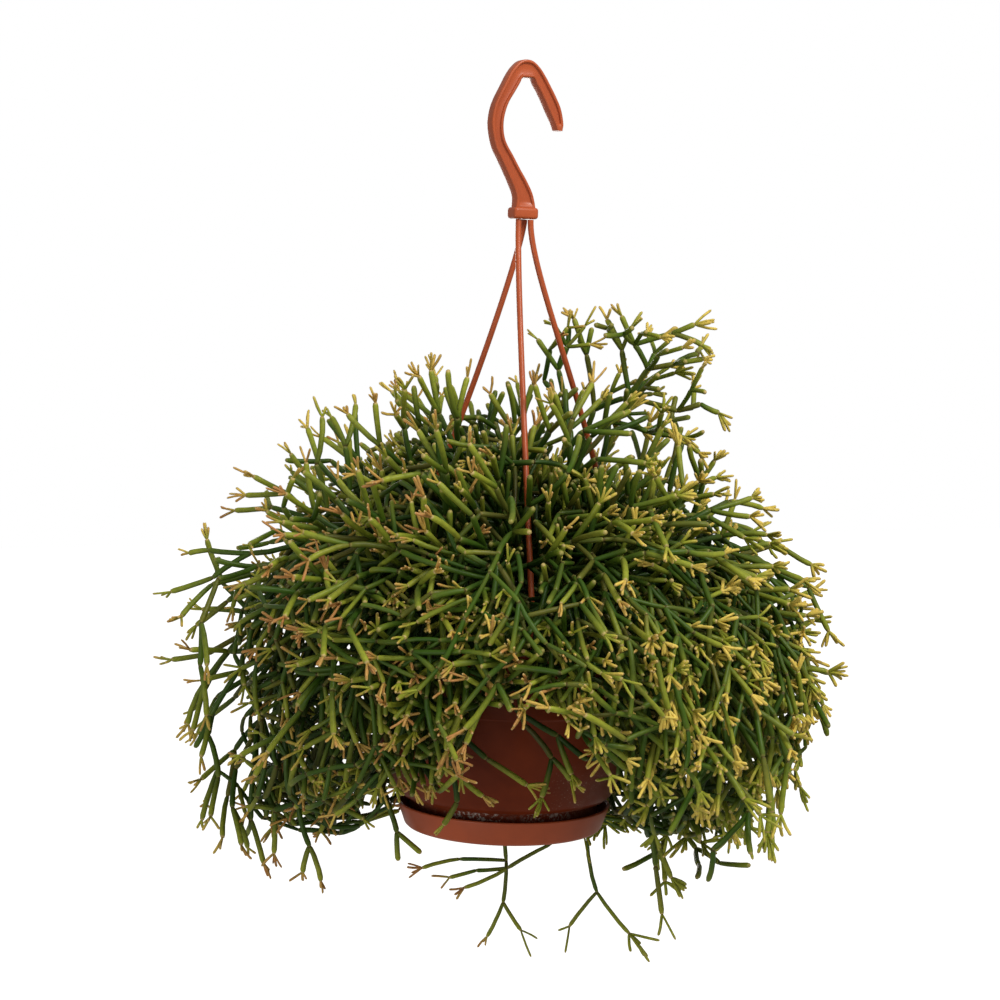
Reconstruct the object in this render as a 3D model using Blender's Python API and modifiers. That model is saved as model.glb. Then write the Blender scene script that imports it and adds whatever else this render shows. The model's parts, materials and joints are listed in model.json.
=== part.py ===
"""Potted rhipsalis in a hanging pot: a pot with a saucer, a hook and three legs, soil, and leafless stems.

The sizes below are in millimetres and are scaled to metres where a mesh is made. The origin is the seat at
the top of the hook's inside, +Z is up, and the hook lies in the XZ plane.
"""

import math
import random

import bmesh
import bpy
import numpy as np
from mathutils import Matrix, Vector

MM = 0.001
WELD = 0.001

# the side that shows most of the pot is the front; plan places are (across, back, up) as seen from there
FRONT = math.radians(-27.0)
ACROSS = np.array([math.cos(FRONT), math.sin(FRONT), 0.0])
BACK = np.array([-math.sin(FRONT), math.cos(FRONT), 0.0])
UP = np.array([0.0, 0.0, 1.0])

# driving heights and radii of the pot and the saucer
RIM_TOP = -272.0
RIM_RADIUS = 76.0
SKIRT_BOTTOM = -292.0
FLANGE = 1.6
WALL = 1.6
TURN_STEPS = 36
# the pot's inside from the rim down, as radii and heights
POT_INSIDE = ((67.4, -303.8), (66.7, -304.6), (62.4, -323.5), (57.2, -337.5), (52.3, -349.6), (50.6, -351.2),
              (44.9, -352.2))
POT_FLOOR = -360.4
FOOT_BOTTOM = -366.7
FOOT_RADIUS = 46.5
LIP_TOP = -356.5
LIP_RADIUS = 53.0
SAUCER_FLOOR = -367.0
SAUCER_BOTTOM = -368.8
SNAP_RADIUS = 3.9
SNAP_HEAD_RADIUS = 5.6
SNAP_HEAD_TOP = -357.5
GAP = 0.3
DRAIN_RADIUS = 4.0
DRAIN_RING = 27.0
DRAINS = 6

# soil
SOIL_TOP = -284.0
SOIL_LUMP = 1.1
SOIL_STEPS = 24
# the soil's gap to the pot: wider than elsewhere by what the flats of the two rings take up
SOIL_GAP = 0.8
ROOT_BOTTOM = -297.0
ROOT_TOP = -268.0
HOLE_RADIUS = 2.75
HOLE_SIDES = 4

# hanger: a flat hook with a recess in both faces, a collar, and three round legs
HOOK_THICKNESS = 6.2
HOOK_RIM = 1.4
HOOK_RECESS = 1.1
# pairs of points on the outer and the inner edge, from the tip over the seat down to the collar, as (x, z)
HOOK_RIBS = (((19.6, -24.6), (16.7, -24.3)), ((20.0, -20.8), (15.1, -20.6)),
             ((18.4, -14.0), (12.4, -16.0)), ((15.5, -8.3), (9.6, -10.8)), ((12.2, -3.0), (6.9, -6.2)),
             ((9.3, 1.4), (4.5, -2.8)),
             ((6.2, 5.2), (3.8, -1.1)), ((2.6, 8.0), (2.7, 0.0)), ((-0.9, 8.7), (0.0, 0.0)),
             ((-4.2, 7.9), (-2.7, 0.0)), ((-7.5, 5.0), (-3.8, -1.1)), ((-10.3, 1.0), (-4.5, -2.8)),
             ((-13.3, -4.8), (-7.2, -7.4)), ((-16.2, -10.4), (-10.0, -12.0)),
             ((-18.2, -15.8), (-11.9, -17.0)), ((-19.1, -22.5), (-12.8, -22.6)),
             ((-18.3, -28.6), (-12.3, -28.2)), ((-16.5, -34.6), (-10.6, -32.6)),
             ((-13.3, -40.2), (-6.7, -38.4)), ((-9.9, -46.2), (-3.2, -43.9)), ((-7.0, -51.6), (0.7, -49.6)),
             ((-4.8, -56.4), (3.9, -55.2)), ((-4.4, -60.0), (5.4, -59.8)), ((-4.8, -63.8), (6.2, -63.8)))
RECESS_FIRST, RECESS_LAST = 1, 22
COLLAR_LEFT, COLLAR_RIGHT = -6.1, 7.2
COLLAR_DEPTH = 9.0
COLLAR_TOP, COLLAR_BOTTOM = -62.6, -68.2
LEG_RADIUS = 1.45
LUG_RADIUS = 71.7
LUG_HOLE_RADIUS = 1.9
LEG_NAMES = ("front", "right", "left")
# each leg's curve in plan places: its start, two handles and its foot at the rim
LEGS = (((-1.5, -2.2, -68.5), (-1.9, -6, -94), (5.8, -42, -189), (11.3, -70.8, -269)),
        ((4.4, -0.6, -68.5), (4, 0, -99), (53, 30, -192), (55.6, 45.2, -269)),
        ((1.4, 2.2, -68.5), (0, 5, -88), (-35.5, 16, -200), (-67.0, 25.6, -269)))
# below the foot: heights of the neck and of the bead that holds the rim, and thickness relative to the leg's
LEG_END = ((-273.9, 1.0), (-274.1, 1.5), (-276.2, 1.5), (-277.0, 0.8))

# stems
SEED = 7
STEM_RADIUS = 1.6
LIMB_START = 0.5
TINY_EDGE = 0.15
STRAIGHT = 26.0
SEGMENT = (19, 26)
STEM_ROOM = 2.6
CELL = 36.0
FAR = 40.0
TURNS_TRIED = 12
TRUNKS_TRIED = 24
# how much of a shoot's turn is its own rather than its place's
WANDER = 0.25

# the crown's outline, (radius, height) from the top round to the underside, seen on the left and on the right
CROWN_LEFT = ((0, -152), (30, -140), (60, -139), (84, -151), (104, -170), (124, -190), (142, -216),
              (157, -234), (162, -262), (155, -290), (152, -320), (146, -350), (146, -374), (118, -392),
              (76, -399), (52, -390), (0, -385))
CROWN_RIGHT = ((0, -152), (30, -148), (62, -156), (88, -170), (104, -188), (118, -204), (138, -226),
               (152, -246), (160, -266), (166, -300), (160, -332), (149, -356), (138, -378), (118, -396),
               (78, -404), (52, -394), (0, -385))
CROWN_EDGE = 5.0
# how much higher the crown's underside is at the front, and the heights between which this sets in
FRONT_LIFT, LIFT_FROM, LIFT_TO = 34.0, -285.0, -350.0
# how shoots turn with height, in degrees above level, and how much more the outer ones spread
TILT_HEIGHTS = (-350, -320, -290, -265, -240, -215, -190)
TILTS = (-74, -66, -46, -20, 8, 38, 80)
TILT_TOP, TILT_PER_RADIUS = 80, 0.42
TILT_SPREAD, TILT_MIDDLE = 0.6, 112
# what the shoots keep clear of round the pot, as heights and radii
POT_HEIGHTS = (-272, -296, -304.5, -322, -336, -350, -357, -369)
POT_RADII = (76, 75, 69, 64, 59, 55, 54, 50)
POT_ROOM = 3.0
UNDER_RADIUS, UNDER_DEPTH = 62, 30
# the part of the pot's front that the foliage leaves open
WINDOW_MIDDLE, WINDOW_HALF, WINDOW_FLAT = 8.0, 66.0, 14.0
WINDOW_TOP, WINDOW_SLOPE, WINDOW_BACK = -291.0, 0.8, -20.0

# guided shoots: the root, the leading line from it, and the side limbs, each from a point of another line
TUFT = ((20, 6), ((30, 10, -240), (40, 13, -204), (47, 15, -167), (57, 15, -155), (52, 16, -131),
                  (44, 17, -116)),
        (((57, 15, -155), (65, 13, -140), (58, 12, -128), (51, 11, -114)),
         ((58, 12, -128), (76, 9, -122), (87, 8, -117)), ((76, 9, -122), (91, 6, -127)),
         ((65, 13, -140), (78, 9, -137), (92, 8, -134)),
         ((57, 15, -155), (80, 6, -160), (91, 2, -156), (100, 0, -160)),
         ((47, 15, -167), (66, 8, -171), (84, 2, -173), (91, 0, -180))))
TUFT_BEHIND = ((8, 18), ((18, 22, -235), (30, 30, -198), (40, 32, -162), (35, 31, -134), (28, 30, -116)),
               (((30, 30, -198), (27, 29, -168), (21, 28, -142), (10, 27, -127)),
                ((27, 29, -168), (14, 34, -148))))
TRAIL_DOWN = ((4, 54), ((8, 82, -240), (8, 104, -258), (6, 106, -288), (4, 102, -318), (2, 96, -348),
                        (3, 90, -378), (3, 86, -408), (2, 86, -431), (-6, 86, -450)),
              (((2, 86, -431), (12, 86, -446)), ((3, 86, -408), (-22, 86, -408), (-42, 84, -413)),
               ((4, 102, -318), (-14, 98, -340), (-24, 92, -362)), ((3, 90, -378), (-13, 92, -394))))
TRAIL_LEFT = ((22, 50), ((40, 80, -240), (54, 96, -262), (56, 98, -292), (52, 96, -322), (46, 90, -350),
                         (38, 82, -378), (26, 79, -397), (4, 78, -410), (-13, 78, -412), (-27, 77, -416)),
              (((4, 78, -410), (-19, 76, -421)), ((52, 96, -322), (36, 102, -344), (24, 100, -366))))
TRAIL_FORK = ((38, 34), ((64, 56, -238), (84, 70, -262), (84, 74, -292), (76, 78, -322), (64, 80, -350),
                         (51, 80, -375), (46, 79, -394), (52, 79, -422), (38, 79, -441)),
              (((52, 79, -422), (70, 79, -444)), ((64, 80, -350), (76, 82, -376), (84, 78, -400))))
LEFT_HIGH = ((-46, -8), ((-72, -10, -238), (-100, -8, -228), (-128, -5, -236), (-147, -3, -249),
                         (-168, 0, -257)),
             (((-128, -5, -236), (-150, 2, -236), (-160, 4, -238)), ((-100, -8, -228), (-120, -16, -214))))
LEFT_LOW = ((-42, 8), ((-74, 10, -250), (-104, 10, -258), (-130, 6, -276), (-150, 2, -288), (-167, 0, -291)),
            (((-130, 6, -276), (-148, 8, -300), (-157, 4, -317)),))
FRONT_LONG = ((-8, -48), ((-16, -78, -246), (-22, -98, -262), (-11, -99, -285), (3, -99, -293),
                          (23, -98, -305), (37, -97, -316), (49, -94, -313)),
              (((23, -98, -305), (30, -102, -322)),))
FRONT_MID = ((6, -50), ((6, -80, -250), (0, -96, -268), (8, -90, -302), (21, -90, -317), (30, -90, -327)),
             (((21, -90, -317), (17, -92, -335)),))
FRONT_LEFT = ((-22, -44), ((-38, -72, -248), (-44, -88, -270), (-37, -90, -296), (-24, -91, -305),
                           (-9, -91, -318), (10, -90, -330)),
              (((-24, -91, -305), (-20, -94, -325)),))
FRONT_LOW = ((-32, -38), ((-50, -62, -246), (-58, -76, -270), (-46, -78, -292), (-34, -79, -308),
                          (-25, -79, -326), (-22, -76, -342), (-28, -76, -353)),
             (((-25, -79, -326), (-10, -80, -338)),))
LOW_LEFT = ((-46, -24), ((-70, -28, -238), (-98, -31, -254), (-112, -31, -282), (-110, -30, -312),
                         (-105, -30, -338), (-100, -30, -356), (-94, -30, -376), (-97, -30, -389)),
            (((-94, -30, -376), (-88, -30, -393)),))
LOW_FORK = ((-36, -22), ((-58, -34, -242), (-80, -42, -260), (-86, -40, -290), (-78, -30, -318),
                         (-66, -22, -340), (-58, -20, -354), (-52, -20, -370), (-51, -20, -384)),
            (((-52, -20, -370), (-40, -20, -380)),))
RIGHT_LOW = ((40, -14), ((64, -18, -240), (86, -20, -262), (84, -19, -292), (68, -17, -318), (64, -16, -340),
                         (72, -15, -364), (76, -15, -384), (80, -15, -408)),
             (((72, -15, -364), (84, -14, -390)),))
RIGHT_EDGE = ((46, 2), ((74, -1, -236), (101, -4, -238), (126, -5, -256), (141, -5, -282), (159, -5, -287)),
              (((141, -5, -282), (157, -3, -303)), ((126, -5, -256), (146, -9, -258))))
GUIDED = (TUFT, TUFT_BEHIND, TRAIL_DOWN, TRAIL_LEFT, TRAIL_FORK, LEFT_HIGH, LEFT_LOW, FRONT_LONG, FRONT_MID,
          FRONT_LEFT, FRONT_LOW, LOW_LEFT, LOW_FORK, RIGHT_LOW, RIGHT_EDGE)
# rows of free shoots: how many, the radius and height they aim for, their root's radius, the row's turn as a
# share of the spacing, and how many times they branch
ROWS = ((3, 24, -152, 12, 0.40, 3), (4, 60, -150, 22, 0.15, 3), (8, 106, -180, 32, 0.60, 3),
        (8, 146, -236, 42, 0.00, 4), (8, 154, -296, 52, 0.50, 6), (7, 126, -372, 57, 0.25, 8))

# colours, linear
PLASTIC = (0.330, 0.078, 0.036)
PLASTIC_POT = (0.215, 0.050, 0.027)
SOIL_BROWN = (0.035, 0.021, 0.013)
STEM_GREEN = (0.075, 0.145, 0.022)


def place(across, back, up):
    return ACROSS * across + BACK * back + UP * up


def unit(v):
    return v / np.linalg.norm(v)


def ring(radius, angle, height):
    return np.array([radius * math.cos(angle), radius * math.sin(angle), height])


def curve(p0, p1, p2, p3, count):
    """Points along a cubic curve with two handles."""
    t = np.linspace(0, 1, count + 1)[:, None]
    return (1 - t) ** 3 * p0 + 3 * (1 - t) ** 2 * t * p1 + 3 * (1 - t) * t * t * p2 + t ** 3 * p3


def leg_curve(leg, count):
    return curve(*(place(*p) for p in leg), count)


# growth of the stems


def crown_depth(points):
    """How far inside the crown's outline each point lies, negative outside it."""
    radius = np.hypot(points[:, 0], points[:, 1])
    angle = np.arctan2(points[:, 1], points[:, 0])
    facing = np.clip(-(points @ BACK) / np.maximum(radius, 1.0), 0, 1)
    low = np.clip((LIFT_FROM - points[:, 2]) / (LIFT_FROM - LIFT_TO), 0, 1)
    height = points[:, 2] - FRONT_LIFT * facing * low
    to_right = (0.5 + 0.5 * np.cos(angle - FRONT))[:, None, None]
    left = np.array(CROWN_LEFT, float)
    right = np.array(CROWN_RIGHT, float)
    line = left + (right - left) * to_right
    a, b = line[:, :-1], line[:, 1:]
    p = np.stack([radius, height], 1)[:, None, :]
    along = np.clip(((p - a) * (b - a)).sum(2) / ((b - a) ** 2).sum(2), 0, 1)
    distance = np.linalg.norm(p - a - (b - a) * along[..., None], axis=2).min(1)
    spans = (a[..., 1] > p[..., 1]) != (b[..., 1] > p[..., 1])
    rise = np.where(spans, b[..., 1] - a[..., 1], 1.0)
    at = a[..., 0] + (p[..., 1] - a[..., 1]) * (b[..., 0] - a[..., 0]) / rise
    inside = (spans & (radius[:, None] < at)).sum(1) % 2 == 1
    lumps = (4 * np.sin(3 * angle + 0.02 * height) + 3 * np.sin(5 * angle - 0.035 * height + 1.3)
             + 3 * np.sin(8 * angle + 0.05 * height + 4))
    return np.where(inside, distance, -distance) + lumps * np.clip(radius / 80, 0, 1)


def flow(p):
    """The way a shoot tends to grow: up and out on top, level at the shoulder, down at the side."""
    radius = math.hypot(p[0], p[1])
    out = np.array([p[0], p[1], 0.0]) / max(radius, 1e-6)
    tilt = min(TILT_TOP - TILT_PER_RADIUS * radius, np.interp(p[2], TILT_HEIGHTS, TILTS))
    if tilt < 0:
        tilt = min(0.0, tilt + TILT_SPREAD * (radius - TILT_MIDDLE))
    tilt = math.radians(tilt)
    return out * math.cos(tilt) + UP * math.sin(tilt)


def too_near_pot(points):
    """Whether each point is too near the pot, the saucer or the soil, or hangs under the saucer."""
    radius = np.hypot(points[..., 0], points[..., 1])
    height = points[..., 2]
    wall = np.interp(-height, [-h for h in POT_HEIGHTS], POT_RADII)
    beside = (height < RIM_TOP + POT_ROOM) & (height > SAUCER_BOTTOM - POT_ROOM) & (radius < wall + POT_ROOM)
    low = (height <= SAUCER_BOTTOM - POT_ROOM) & (height > SAUCER_BOTTOM - UNDER_DEPTH)
    return beside | low & (radius < UNDER_RADIUS)


def in_window(points):
    """Whether each point hangs before the open part of the pot's front."""
    across = np.abs(points @ ACROSS - WINDOW_MIDDLE)
    floor = WINDOW_TOP - WINDOW_SLOPE * np.clip(across - WINDOW_FLAT, 0, None)
    return (points @ BACK < WINDOW_BACK) & (across < WINDOW_HALF) & (points[..., 2] < floor)


def line_gaps(a, b, c, d):
    """The shortest distances from each line a-b, of k, to each line c-d, of m, as k by m."""
    u = (b - a)[:, None]
    v = (d - c)[None]
    w = a[:, None] - c[None]
    uu, uv, vv = (u * u).sum(2), (u * v).sum(2), (v * v).sum(2)
    uw, vw = (u * w).sum(2), (v * w).sum(2)
    det = uu * vv - uv * uv
    s = np.clip(np.where(det > 1e-6, (uv * vw - vv * uw) / np.maximum(det, 1e-6), 0), 0, 1)
    t = np.clip((uv * s + vw) / vv, 0, 1)
    s = np.clip((uv * t - uw) / uu, 0, 1)
    return np.linalg.norm(w + u * s[..., None] - v * t[..., None], axis=2)


class Segment:
    """One link of a stem, from the end of its parent."""

    def __init__(self, parent, start, end, stem, radius):
        self.parent = parent
        self.start = start
        self.end = end
        self.stem = stem
        self.radius = radius
        self.children = []
        if parent:
            parent.children.append(self)


class Thicket:
    """Every segment so far, in cells wide enough that a near one is in the same cell or the next."""

    def __init__(self):
        self.cells = {}
        self.all = []

    def add(self, segment):
        cell = tuple(np.floor((segment.start + segment.end) / 2 / CELL).astype(int))
        self.cells.setdefault(cell, []).append(segment)
        self.all.append(segment)
        return segment

    def near(self, middle):
        i, j, k = np.floor(middle / CELL).astype(int)
        cells = [(x, y, z) for x in (i - 1, i, i + 1) for y in (j - 1, j, j + 1) for z in (k - 1, k, k + 1)]
        return [segment for cell in cells for segment in self.cells.get(cell, ())]

    def room(self, start, ends, stem, skip=()):
        """For a segment from start to each end: the room to other stems, and to the rest of its own stem."""
        near = [s for s in self.near((start + ends.mean(0)) / 2) if s not in skip]
        if not near:
            return np.full(len(ends), FAR), np.full(len(ends), FAR)
        starts = np.repeat(start[None], len(ends), 0)
        gaps = line_gaps(starts, ends, np.array([s.start for s in near]), np.array([s.end for s in near]))
        gaps = gaps - np.array([s.radius for s in near])
        own = np.array([s.stem == stem for s in near])
        return np.where(own, FAR, gaps).min(1), np.where(own, gaps, FAR).min(1)


def fan(rng, lead, count, least, most):
    """Directions at random within a ring round the leading one."""
    side = unit(np.cross(lead, UP if abs(lead[2]) < 0.8 else ACROSS))
    other = np.cross(lead, side)
    found = []
    for _ in range(count):
        tilt = math.radians(rng.uniform(least, most))
        turn = rng.uniform(0, 2 * math.pi)
        aside = side * math.cos(turn) + other * math.sin(turn)
        found.append(lead * math.cos(tilt) + aside * math.sin(tilt))
    return np.array(found)


def sprout(rng, thicket, parent, count, lengths, room):
    """Grow up to count children from a segment's end, each the freest of several tries."""
    start = parent.end
    along = unit(parent.end - parent.start)
    wish = flow(start)
    lead = unit(along * (0.6 + 0.4 * WANDER) + wish * (0.4 - 0.3 * WANDER))
    made = []
    for _ in range(count):
        ways = fan(rng, lead, TURNS_TRIED, 8, 50 + 20 * WANDER)
        ends = start + ways * rng.uniform(*lengths)
        good = (ways @ along > 0.25) & (crown_depth(ends) > 0)
        for child in parent.children:
            good &= ways @ unit(child.end - child.start) < 0.86
        points = start + (ends - start)[:, None] * np.array([0.3, 0.65, 1.0])[:, None]
        good &= ~(too_near_pot(points) | in_window(points)).any(1)
        if not good.any():
            continue
        others, own = thicket.room(start, ends, parent.stem, [parent] + parent.children)
        good &= (others > STEM_RADIUS + room) & (own > STEM_RADIUS + room)
        if not good.any():
            continue
        chance = np.array([rng.uniform(0, 5) for _ in range(TURNS_TRIED)])
        follow = 7 * (1 - WANDER) * ways @ wish
        score = np.minimum(others, 14) + 0.8 * np.minimum(own, 14) + follow + chance
        best = ends[int(np.argmax(np.where(good, score, -FAR)))]
        made.append(thicket.add(Segment(parent, start, best, parent.stem, STEM_RADIUS)))
    return made


def shift(rng, size):
    return np.array([rng.uniform(-size, size) for _ in range(3)])


def trunk_line(rng, root, target):
    """A basal shoot from its root up and over towards its aim."""
    base = np.array([root[0], root[1], ROOT_TOP])
    root_angle = math.atan2(root[1], root[0])
    root_radius = math.hypot(root[0], root[1])
    angle = math.atan2(target[1], target[0])
    if target[2] > -210:
        end = base + (target - base) * 0.52
        first = base + UP * 22 + shift(rng, 4)
        second = base + (target - base) * 0.34 + UP * 8 + shift(rng, 6)
    elif target[2] > -280:
        end = ring(86, angle, -222 + (target[2] + 238) * 0.4) + shift(rng, 5)
        first = ring(root_radius + 4, root_angle, -244) + shift(rng, 4)
        second = ring(root_radius + 22, (root_angle + angle) / 2, -226) + shift(rng, 5)
    else:
        end = ring(110, angle, -262 if target[2] > -340 else -284) + shift(rng, 5)
        first = ring(root_radius + 5, root_angle, -232 + rng.uniform(-8, 8)) + shift(rng, 3)
        second = ring(104, angle, -226 + rng.uniform(-6, 8)) + shift(rng, 4)
    count = max(2, round(np.linalg.norm(end - base) * 1.15 / STRAIGHT))
    return np.vstack([[root[0], root[1], ROOT_BOTTOM], curve(base, first, second, end, count)])


def line_room(thicket, points, stem):
    """The least room along a line of points, none where it meets the pot."""
    room = FAR
    for k in range(len(points) - 1):
        others, _ = thicket.room(points[k], points[k + 1][None], stem)
        room = min(room, others[0])
        steps = points[k] + (points[k + 1] - points[k]) * np.linspace(0.2, 1, 5)[:, None]
        if k and too_near_pot(steps).any():
            room = 0.0
    return room


def add_line(thicket, parent, points, stem):
    for start, end in zip(points, points[1:]):
        parent = thicket.add(Segment(parent, start, end, stem, STEM_RADIUS))
    return parent


def guided_stem(thicket, stem, plan):
    """A shoot along a given line, with its side limbs."""
    (across, back), line, limbs = plan
    root = [place(across, back, ROOT_BOTTOM), place(across, back, ROOT_TOP)]
    add_line(thicket, None, root + [place(*p) for p in line], stem)
    for limb in limbs:
        points = [place(*p) for p in limb]
        own = [s for s in thicket.all if s.stem == stem]
        joint = min(own, key=lambda s: np.linalg.norm(s.end - points[0]))
        add_line(thicket, joint, points, stem)


def free_stem(rng, thicket, stem, root_radius, angle, target):
    """A shoot that aims for its place in the crown, on the clearest of several lines."""
    best, most = None, -FAR
    for _ in range(TRUNKS_TRIED):
        root = ring(root_radius + rng.uniform(-3, 3), angle + rng.uniform(-0.15, 0.15), 0)
        points = trunk_line(rng, root, target)
        room = line_room(thicket, points, stem)
        if room > most:
            best, most = points, room
        if room > STEM_RADIUS + 4:
            break
    return add_line(thicket, None, best, stem)


def grow_stems():
    """The whole framework: for each stem, its list of segments."""
    rng = random.Random(SEED)
    thicket = Thicket()
    for leg in LEGS:
        points = leg_curve(leg, 10)
        for start, end in zip(points, points[1:]):
            thicket.add(Segment(None, start, end, -1, LEG_RADIUS))
    for stem, plan in enumerate(GUIDED):
        guided_stem(thicket, stem, plan)
    stems = len(GUIDED)
    lives = {}
    tips = []
    for count, radius, height, root_radius, turn, life in ROWS:
        for k in range(count):
            angle = 2 * math.pi * (k + turn + rng.uniform(-0.15, 0.15)) / count
            target = ring(radius, angle, height)
            if in_window(target):
                target = ring(138, angle, -262 + rng.uniform(-10, 10))
            end = free_stem(rng, thicket, stems, root_radius, angle, target)
            tips += [end, end.parent]
            lives[stems] = life
            stems += 1
    for generation in range(max(lives.values())):
        rng.shuffle(tips)
        grown = []
        for tip in tips:
            if crown_depth(tip.end[None])[0] < CROWN_EDGE or generation >= lives[tip.stem]:
                continue
            wanted = 2 if generation < 3 or rng.random() < 0.5 else 1
            wanted -= len(tip.children)
            grown += sprout(rng, thicket, tip, wanted, SEGMENT, STEM_ROOM)
        tips = grown
    return [[s for s in thicket.all if s.stem == stem] for stem in range(stems)]


def limbs_of(segments):
    """The stem as lines of points: at each joint the straightest child goes on and the others start lines."""
    lines = []
    starts = [segments[0]]
    while starts:
        segment = starts.pop()
        line = [segment.start, segment.end]
        while segment.children:
            along = segment.end - segment.start
            after = sorted(segment.children, key=lambda s: -unit(s.end - s.start) @ along)
            starts += after[1:]
            segment = after[0]
            line.append(segment.end)
        lines.append(line)
    return lines


# scene helpers


def clear_scene():
    for obj in list(bpy.data.objects):
        bpy.data.objects.remove(obj)


def new_collection(name):
    collection = bpy.data.collections.new(name)
    bpy.context.scene.collection.children.link(collection)
    return collection


def material(name, colour, roughness):
    made = bpy.data.materials.new(name)
    made.use_nodes = True
    shader = made.node_tree.nodes["Principled BSDF"]
    shader.inputs["Base Color"].default_value = (*colour, 1.0)
    shader.inputs["Roughness"].default_value = roughness
    made.diffuse_color = (*colour, 1.0)
    return made


def add_object(name, data, collection, surface=None):
    obj = bpy.data.objects.new(name, data)
    collection.objects.link(obj)
    if surface:
        data.materials.append(surface)
    return obj


def as_meshes(objects):
    """Replace curves, or objects with modifiers, by their finished meshes, with the caps welded on."""
    bpy.context.view_layer.update()
    graph = bpy.context.evaluated_depsgraph_get()
    meshes = [bpy.data.meshes.new_from_object(obj.evaluated_get(graph)) for obj in objects]
    finished = []
    for obj, mesh in zip(objects, meshes):
        work = bmesh.new()
        work.from_mesh(mesh)
        bmesh.ops.remove_doubles(work, verts=work.verts, dist=WELD * MM)
        bmesh.ops.recalc_face_normals(work, faces=work.faces)
        work.to_mesh(mesh)
        work.free()
        name, collections, matrix = obj.name, list(obj.users_collection), obj.matrix_world.copy()
        bpy.data.objects.remove(obj)
        made = bpy.data.objects.new(name, mesh)
        made.matrix_world = matrix
        for collection in collections:
            collection.objects.link(made)
        finished.append(made)
    return finished


def as_mesh(obj):
    return as_meshes([obj])[0]


def drop_tiny_edges(mesh):
    """Close up the slivers that a join leaves."""
    work = bmesh.new()
    work.from_mesh(mesh)
    bmesh.ops.triangulate(work, faces=work.faces)
    bmesh.ops.dissolve_degenerate(work, dist=TINY_EDGE * MM, edges=work.edges)
    work.to_mesh(mesh)
    work.free()


def hide_cutter(obj):
    obj.hide_render = True
    obj.display_type = "WIRE"


def add_boolean(obj, operation, others):
    modifier = obj.modifiers.new(operation.lower(), "BOOLEAN")
    modifier.operation = operation
    modifier.solver = "EXACT"
    if isinstance(others, bpy.types.Collection):
        modifier.operand_type = "COLLECTION"
        modifier.collection = others
    else:
        modifier.object = others


def remove_collection(collection):
    for obj in list(collection.objects):
        bpy.data.objects.remove(obj)
    bpy.data.collections.remove(collection)


def turned(name, profile, steps, collection, surface):
    """A solid of revolution about Z from (radius, height) points that run down its outer side."""
    mesh = bpy.data.meshes.new(name)
    points = [(r * MM, 0, z * MM) for r, z in profile]
    closed = profile[0][0] > 0
    edges = [(i, i + 1) for i in range(len(points) - 1)]
    if closed:
        edges.append((len(points) - 1, 0))
    mesh.from_pydata(points, edges, [])
    obj = add_object(name, mesh, collection, surface)
    screw = obj.modifiers.new("turn", "SCREW")
    screw.steps = steps
    screw.render_steps = steps
    screw.use_merge_vertices = True
    screw.merge_threshold = 1e-5
    return obj


def upright_prism(name, centre, radius, sides, bottom, top, collection, turn=0.0):
    """A cutter with a regular outline, standing on Z."""
    mesh = bpy.data.meshes.new(name)
    work = bmesh.new()
    matrix = Matrix.Translation(Vector((centre[0], centre[1], (bottom + top) / 2)) * MM)
    bmesh.ops.create_cone(work, cap_ends=True, segments=sides, radius1=radius * MM, radius2=radius * MM,
                          depth=(top - bottom) * MM, matrix=matrix @ Matrix.Rotation(turn, 4, "Z"))
    work.to_mesh(mesh)
    work.free()
    obj = add_object(name, mesh, collection)
    hide_cutter(obj)
    return obj


def flat_outline(name, points, half, collection, surface=None):
    """A plate in the XZ plane from its outline, centred on Y."""
    data = bpy.data.curves.new(name, "CURVE")
    data.dimensions = "2D"
    data.fill_mode = "BOTH"
    data.extrude = half * MM
    spline = data.splines.new("POLY")
    spline.points.add(len(points) - 1)
    for point, (x, z) in zip(spline.points, points):
        point.co = (x * MM, z * MM, 0, 1)
    spline.use_cyclic_u = True
    obj = add_object(name, data, collection, surface)
    obj.rotation_euler = (math.pi / 2, 0, 0)
    return as_mesh(obj)


# sub-parts


def make_pot(part, cutters, surface):
    inside = POT_INSIDE[0][0]
    flange_under = RIM_TOP - FLANGE
    profile = ((inside, RIM_TOP), (RIM_RADIUS - 0.6, RIM_TOP), (RIM_RADIUS, RIM_TOP - 0.7),
               (RIM_RADIUS, -275.0), (RIM_RADIUS - 0.5, -275.5), (RIM_RADIUS - 0.7, -288.2),
               (RIM_RADIUS - 0.2, -288.8), (RIM_RADIUS - 0.2, -291.5), (RIM_RADIUS - 0.6, SKIRT_BOTTOM),
               (RIM_RADIUS - 1.8, SKIRT_BOTTOM), (RIM_RADIUS - 1.8, flange_under),
               (inside + 1.8, flange_under), (inside + 1.6, -304.0), (inside + 0.9, -304.8),
               (64.0, -324.0), (58.8, -338.0), (55.3, -347.6),
               (53.9, -350.4), (51.2, -352.8), (FOOT_RADIUS + 0.3, -353.6), (FOOT_RADIUS, FOOT_BOTTOM),
               (FOOT_RADIUS - WALL, FOOT_BOTTOM), (FOOT_RADIUS - WALL, POT_FLOOR - WALL),
               (SNAP_RADIUS + 0.5, POT_FLOOR - WALL), (SNAP_RADIUS + 0.5, POT_FLOOR),
               (FOOT_RADIUS - WALL, POT_FLOOR)) + POT_INSIDE[::-1]
    pot = turned("pot", profile, TURN_STEPS, part, surface)
    for name, leg in zip(LEG_NAMES, LEGS):
        lug = place(*leg[3])
        upright_prism(f"lug_hole_{name}", lug, LUG_HOLE_RADIUS, 12, flange_under - 0.7, RIM_TOP + 1, cutters)
    for k in range(DRAINS):
        middle = ring(DRAIN_RING, 2 * math.pi * (k + 0.5) / DRAINS, 0)
        low, high = POT_FLOOR - WALL - 1, POT_FLOOR + 1
        upright_prism(f"drain_{k + 1}", middle, DRAIN_RADIUS, 10, low, high, cutters)
    add_boolean(pot, "DIFFERENCE", cutters)


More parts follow.
